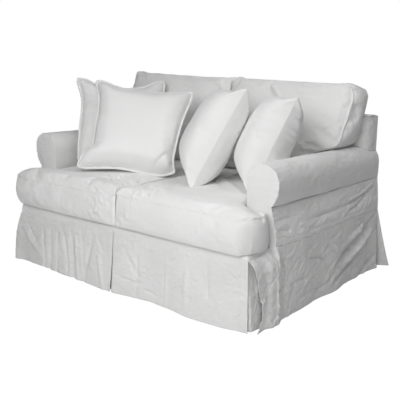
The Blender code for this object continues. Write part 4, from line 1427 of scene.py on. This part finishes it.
def pillowOutline(a, b, inset, look):
    # a place in the pillow's own plane
    x = mix(seamLine(look["left"], b) + inset, seamLine(look["right"], b) - inset, (a + 1) / 2)
    z = mix(seamLine(look["foot"], a) + inset, seamLine(look["head"], a) - inset, (b + 1) / 2)
    near = look["round"] * np.abs(a * b) ** 7
    return x - np.sign(a) * near, z - np.sign(b) * near


def pillowPose(look):
    pose = Matrix.Translation(look["middle"]) @ Matrix.Rotation(math.radians(look["turn"]), 4, "Z")
    pose = pose @ Matrix.Rotation(math.radians(look["lean"]), 4, "X")
    return pose @ Matrix.Rotation(math.radians(look["roll"]), 4, "Y")


def posed(pose, x, y, z):
    turned = np.stack([x, y, z], -1) @ np.array(pose.to_3x3()).T
    return turned + np.array(pose.translation)


def makePillow(number, look):
    pose = pillowPose(look)
    reach, thickness, edge = look["half"], look["thickness"], pillowCloth["edge"]

    def form(a, b, c):
        a, b = np.sin(a * np.pi / 2), np.sin(b * np.pi / 2)
        inset = np.where(np.abs(c) > 0.5, edge * 0.3, 0.0)
        x, z = pillowOutline(a, b, inset, look)
        power, rise = look["plump"]
        full = np.clip((1 - np.abs(a) ** power) * (1 - np.abs(b) ** power), 0, 1) ** rise
        settled = 1 + look["settled"] * np.clip(-b, 0, 1) * np.where(c < 0, 1.4, 0.4)
        settled = settled * (1 + look.get("fuller", 0.0) * np.maximum(0.0, c))
        y = -c * (edge / 2 + (thickness - edge) / 2 * 0.96 * full * settled)
        y = y + look.get("tucked", 0.0) * np.clip((-b - 0.7) / 0.3, 0, 1) ** 2
        return tuple(posed(pose, x, y, z).T)

    even = np.linspace(-1, 1, pillowCloth["steps"] + 1)
    spread = 0.7 * np.arcsin(even) * 2 / np.pi + 0.3 * even
    piece = filledForm(f"pillow_{number}", form, spread, spread, np.array([1.0, 0.0, -1.0]),
                       (2 * reach, 2 * reach, edge))

    def seamAway(place):
        a, b = np.sin(place[:, 0] * np.pi / 2), np.sin(place[:, 1] * np.pi / 2)
        return np.minimum(1 - np.abs(a), 1 - np.abs(b)) * reach

    def within(points, place):
        points[:, 2] = np.maximum(points[:, 2], pillowCloth["lowest"])
        if number == 4:  # it rests against the inside of the arm
            onArm = np.clip((points[:, 2] - rollZ(points[:, 1])) / armShape["rollRise"], 0, 1)
            inner = armShape["rollX"] - armShape["rollHalfWidth"] * np.sqrt(1 - onArm**2) - 0.004
            points[:, 0] = np.where(onArm < 1, np.minimum(points[:, 0], inner), points[:, 0])
        return points

    cloth = dict(pillowCloth, seamAway=seamAway, within=within, pose=pose, look=look, number=number)
    addPressure(piece, cloth)
    return piece, cloth


filledPieces = []
for side, hand in ((-1, "L"), (1, "R")):
    filledPieces.append((*makeSeatCushion(side, hand, seatCushion), "cushion_cotton", 0.75))
    filledPieces.append((*makeBackCushion(side, hand, backCushion), "cushion_cotton", 0.6))
for number, pillow in pillows.items():
    filledPieces.append((*makePillow(number, pillow), "pillow_cotton", 0.6))
print("filled covers cut:", len(filledPieces))

pressMoments = 20
bpy.context.scene.frame_start, bpy.context.scene.frame_end = 1, pressMoments
for moment in range(1, pressMoments + 1):
    bpy.context.scene.frame_set(moment)
print("fillings pressed out")

for piece, look, slot, fill in filledPieces:
    applyPressure(piece, look)
for piece, look, slot, fill in filledPieces:
    smoothed(piece)


def ontoCloth(points, path):
    # the nearest places on the cloth to a path's points
    return np.array([points[np.argmin(((points - spot) ** 2).sum(1))] for spot in path])


def finishBoxed(piece, look):
    # the sewn edge and its puckers, after the filling
    mesh = piece.data
    place, points, normals = placesOf(mesh), pointsOf(mesh), normalsOf(mesh)
    away = look["seamAway"](place)
    runs = points[:, 0] + points[:, 1] * 1.3 + points[:, 2]
    seed = sum(map(ord, piece.name))
    out = look["welt"] * (np.exp(-(away / 0.0035) ** 2) - 0.6 * np.exp(-((away - 0.009) / 0.005) ** 2))
    out += gathers(runs, away, (seed, *look["gathers"]))
    out += gathers(runs + 7, away, (seed + 5, *look["puckers"]))
    for row in look["folds"][look["hand"]]:
        width, depth, path = inMetres(row)
        out += fold(points, width, depth, ontoCloth(points, path))
    for (p, q), crease in look["creases"]:
        facing = np.abs(normals[:, 3 - p - q]) ** 2
        out += smallFolds(points[:, p], points[:, q], crease) * facing * eased(away / 0.010)
    held = place[:, 2] < -0.85
    setPoints(mesh, look["within"](points + normals * np.where(held, 0, out)[:, None], place))


def finishPillow(piece, look):
    mesh = piece.data
    place, points, normals = placesOf(mesh), pointsOf(mesh), normalsOf(mesh)
    away = look["seamAway"](place)
    a, b = place[:, 0], place[:, 1]
    runs = np.where(np.abs(a) > np.abs(b), b, a) * look["look"]["half"] + np.sign(a + b) * 3
    seed = sum(map(ord, piece.name))
    out = gathers(runs, away, (seed, *look["gathers"]))
    out += gathers(runs + 9, away, (seed + 5, *look["puckers"]))
    pose = look["pose"].inverted()
    own = points @ np.array(pose.to_3x3()).T + np.array(pose.translation)
    for key, front in (("folds", 1), ("rearFolds", -1)):
        if look["look"].get(key):
            out += folds(own[:, ::2], look["look"][key]) * (place[:, 2] * front > 0.2)
    out *= eased(away / 0.006)
    setPoints(mesh, look["within"](points + normals * out[:, None], place))


def makePiping(piece, look):
    # a bias-cut tube round the pillow's seam
    number, radius = look["number"], look["pipingRadius"]
    steps, around = look["pipingSteps"], look["pipingSides"]
    place, points = placesOf(piece.data), pointsOf(piece.data)
    t = np.linspace(-1, 1, steps, endpoint=False)
    ring = np.concatenate([
        np.column_stack([t, -np.ones(steps)]), np.column_stack([np.ones(steps), t]),
        np.column_stack([-t, np.ones(steps)]), np.column_stack([-np.ones(steps), -t]),
    ])
    a, b = np.sin(ring[:, 0] * np.pi / 2), np.sin(ring[:, 1] * np.pi / 2)
    seam = np.abs(place[:, 2]) < 0.3
    seam &= np.maximum(np.abs(place[:, 0]), np.abs(place[:, 1])) > 0.999
    seamPoints, seamPlace = points[seam], place[seam]
    path = []
    for wantA, wantB in ring:
        gapTo = np.hypot(seamPlace[:, 0] - wantA, seamPlace[:, 1] - wantB)
        near = np.argsort(gapTo)[:4]
        weight = 1 / (gapTo[near] + 0.004)
        path.append((seamPoints[near] * weight[:, None]).sum(0) / weight.sum())
    path = np.array(path)
    for _ in range(3):
        path = 0.5 * path + 0.25 * (np.roll(path, 1, 0) + np.roll(path, -1, 0))
    x, z = pillowOutline(a, b, 0.0, look["look"])
    outward = posed(look["pose"], x, np.zeros_like(x), z) - np.array(look["pose"].translation)
    outward /= np.linalg.norm(outward, axis=1, keepdims=True)
    tangent = np.roll(path, -1, 0) - np.roll(path, 1, 0)
    tangent /= np.linalg.norm(tangent, axis=1, keepdims=True)
    outward -= (outward * tangent).sum(1, keepdims=True) * tangent
    outward /= np.linalg.norm(outward, axis=1, keepdims=True)
    binormal = np.cross(tangent, outward)
    path = path + outward * (radius * 0.9)
    marks = lengthsAlong(path)
    tubes = []
    for k in range(around):
        angle = 2 * np.pi * k / around
        thick = radius * (1 + 0.10 * wander(100 + number, marks / 0.02) + 0.05 * wander(k, marks / 0.008))
        tubes.append(path + (outward * math.cos(angle) + binormal * math.sin(angle)) * thick[:, None])
    grid = np.stack(tubes, 1)
    i, k = np.meshgrid(np.arange(len(path)), np.arange(around), indexing="ij")
    nextI, nextK = (i + 1) % len(path), (k + 1) % around
    corners = [i * around + k, nextI * around + k, nextI * around + nextK, i * around + nextK]
    faces = np.stack(corners, -1).reshape(-1, 4)
    low, high = marks[i], np.append(marks[1:], marks[-1] + 0.009)[i]
    here, there = k * 0.0032, (k + 1) * 0.0032
    runs = ((low, here), (high, here), (high, there), (low, there))
    grain = np.stack([np.stack([away + turn, turn - away], -1) for away, turn in runs], 2).reshape(-1, 2)
    maps = {"grain": grain, "seam": np.ones_like(grain)}
    tube = meshOf(f"piping_{number}", grid.reshape(-1, 3), faces, maps)
    turnedOut(tube.data)
    finished(tube, f"piping_{number}", "piping_cotton")


for piece, look, slot, fill in filledPieces:
    if "look" in look:
        finishPillow(piece, look)
    else:
        finishBoxed(piece, look)
    finished(piece, piece.name.removesuffix("_cloth"), slot)
for piece, look, slot, fill in filledPieces:
    if "look" in look and look["look"]["piped"]:
        makePiping(piece, look)
print("filled covers finished")


# floor, light and camera

studio = {
    "floorSize": 30.0,
    "camera": (2.20875, -2.63808, 1.18389), "pitch": 13.65, "yaw": 39.27, "lens": 60.62,
    "lights": {  # place, aim, size, power
        "keyLight": ((0.45, -2.15, 1.95), (0.7, -0.3, 0.3), 2.0, 31.4),
        "rightLight": ((1.70, -2.50, 1.30), (0.7, -0.3, 0.3), 2.0, 16.4),
        "topLight": ((1.30, 0.30, 2.90), (0.3, 0.0, 0.4), 1.8, 18.9),
    },
    "world": 0.105, "floorGlow": 1.14,
}


def makeFloor():
    extent = studio["floorSize"]
    corners = [(-extent, -extent, 0), (extent, -extent, 0), (extent, extent, 0), (-extent, extent, 0)]
    mesh = bpy.data.meshes.new("studioFloor")
    mesh.from_pydata(corners, [], [(0, 1, 2, 3)])
    floor = bpy.data.objects.new("studioFloor", mesh)
    bpy.context.scene.collection.objects.link(floor)
    material = bpy.data.materials.new("paleFloor")
    material.use_nodes = True
    tree = material.node_tree
    shader = wired(tree, tree.nodes["Principled BSDF"], Base_Color=(0.82, 0.82, 0.82, 1), Roughness=0.9)
    # seen directly the floor is nearly white, as it casts only a little light back
    glow = shaderNode(tree, "Emission", (0, -200), Color=(1, 1, 1, 1), Strength=studio["floorGlow"])
    seen = shaderNode(tree, "LightPath", (-400, 300)).outputs["Is Camera Ray"]
    share = shaderNode(tree, "Math", (-200, 300), operation="MULTIPLY", in0=seen, in1=0.87)
    blend = shaderNode(tree, "MixShader", (250, 0), Fac=share, in1=shader, in2=glow)
    wired(tree, tree.nodes["Material Output"], Surface=blend)
    mesh.materials.append(material)


def softLight(name, spot, aim, size, power):
    light = bpy.data.lights.new(name, "AREA")
    light.shape = "DISK"
    light.size = size
    light.energy = power
    lamp = bpy.data.objects.new(name, light)
    lamp.location = spot
    lamp.rotation_euler = (Vector(aim) - Vector(spot)).to_track_quat("-Z", "Y").to_euler()
    bpy.context.scene.collection.objects.link(lamp)


def makeStudio():
    scene = bpy.context.scene
    makeFloor()
    for name, (spot, aim, size, power) in studio["lights"].items():
        softLight(name, spot, aim, size, power)
    world = bpy.data.worlds.new("whiteStudio")
    scene.world = world
    world.use_nodes = True
    tree = world.node_tree
    seen = shaderNode(tree, "LightPath", (-600, 0)).outputs["Is Camera Ray"]
    level = shaderNode(tree, "MapRange", (-300, 0), Value=seen, To_Min=studio["world"], To_Max=1.0)
    wired(tree, tree.nodes["Background"], Color=(1, 1, 1, 1), Strength=level)
    scene.view_settings.view_transform = "Standard"
    scene.view_settings.look = "None"
    camera = bpy.data.cameras.new("photoCamera")
    camera.lens = studio["lens"]
    camera.sensor_width = 36.0
    eye = bpy.data.objects.new("photoCamera", camera)
    eye.location = studio["camera"]
    eye.rotation_euler = (math.radians(90 - studio["pitch"]), 0, math.radians(studio["yaw"]))
    scene.collection.objects.link(eye)
    scene.camera = eye


makeStudio()
print("studio made")
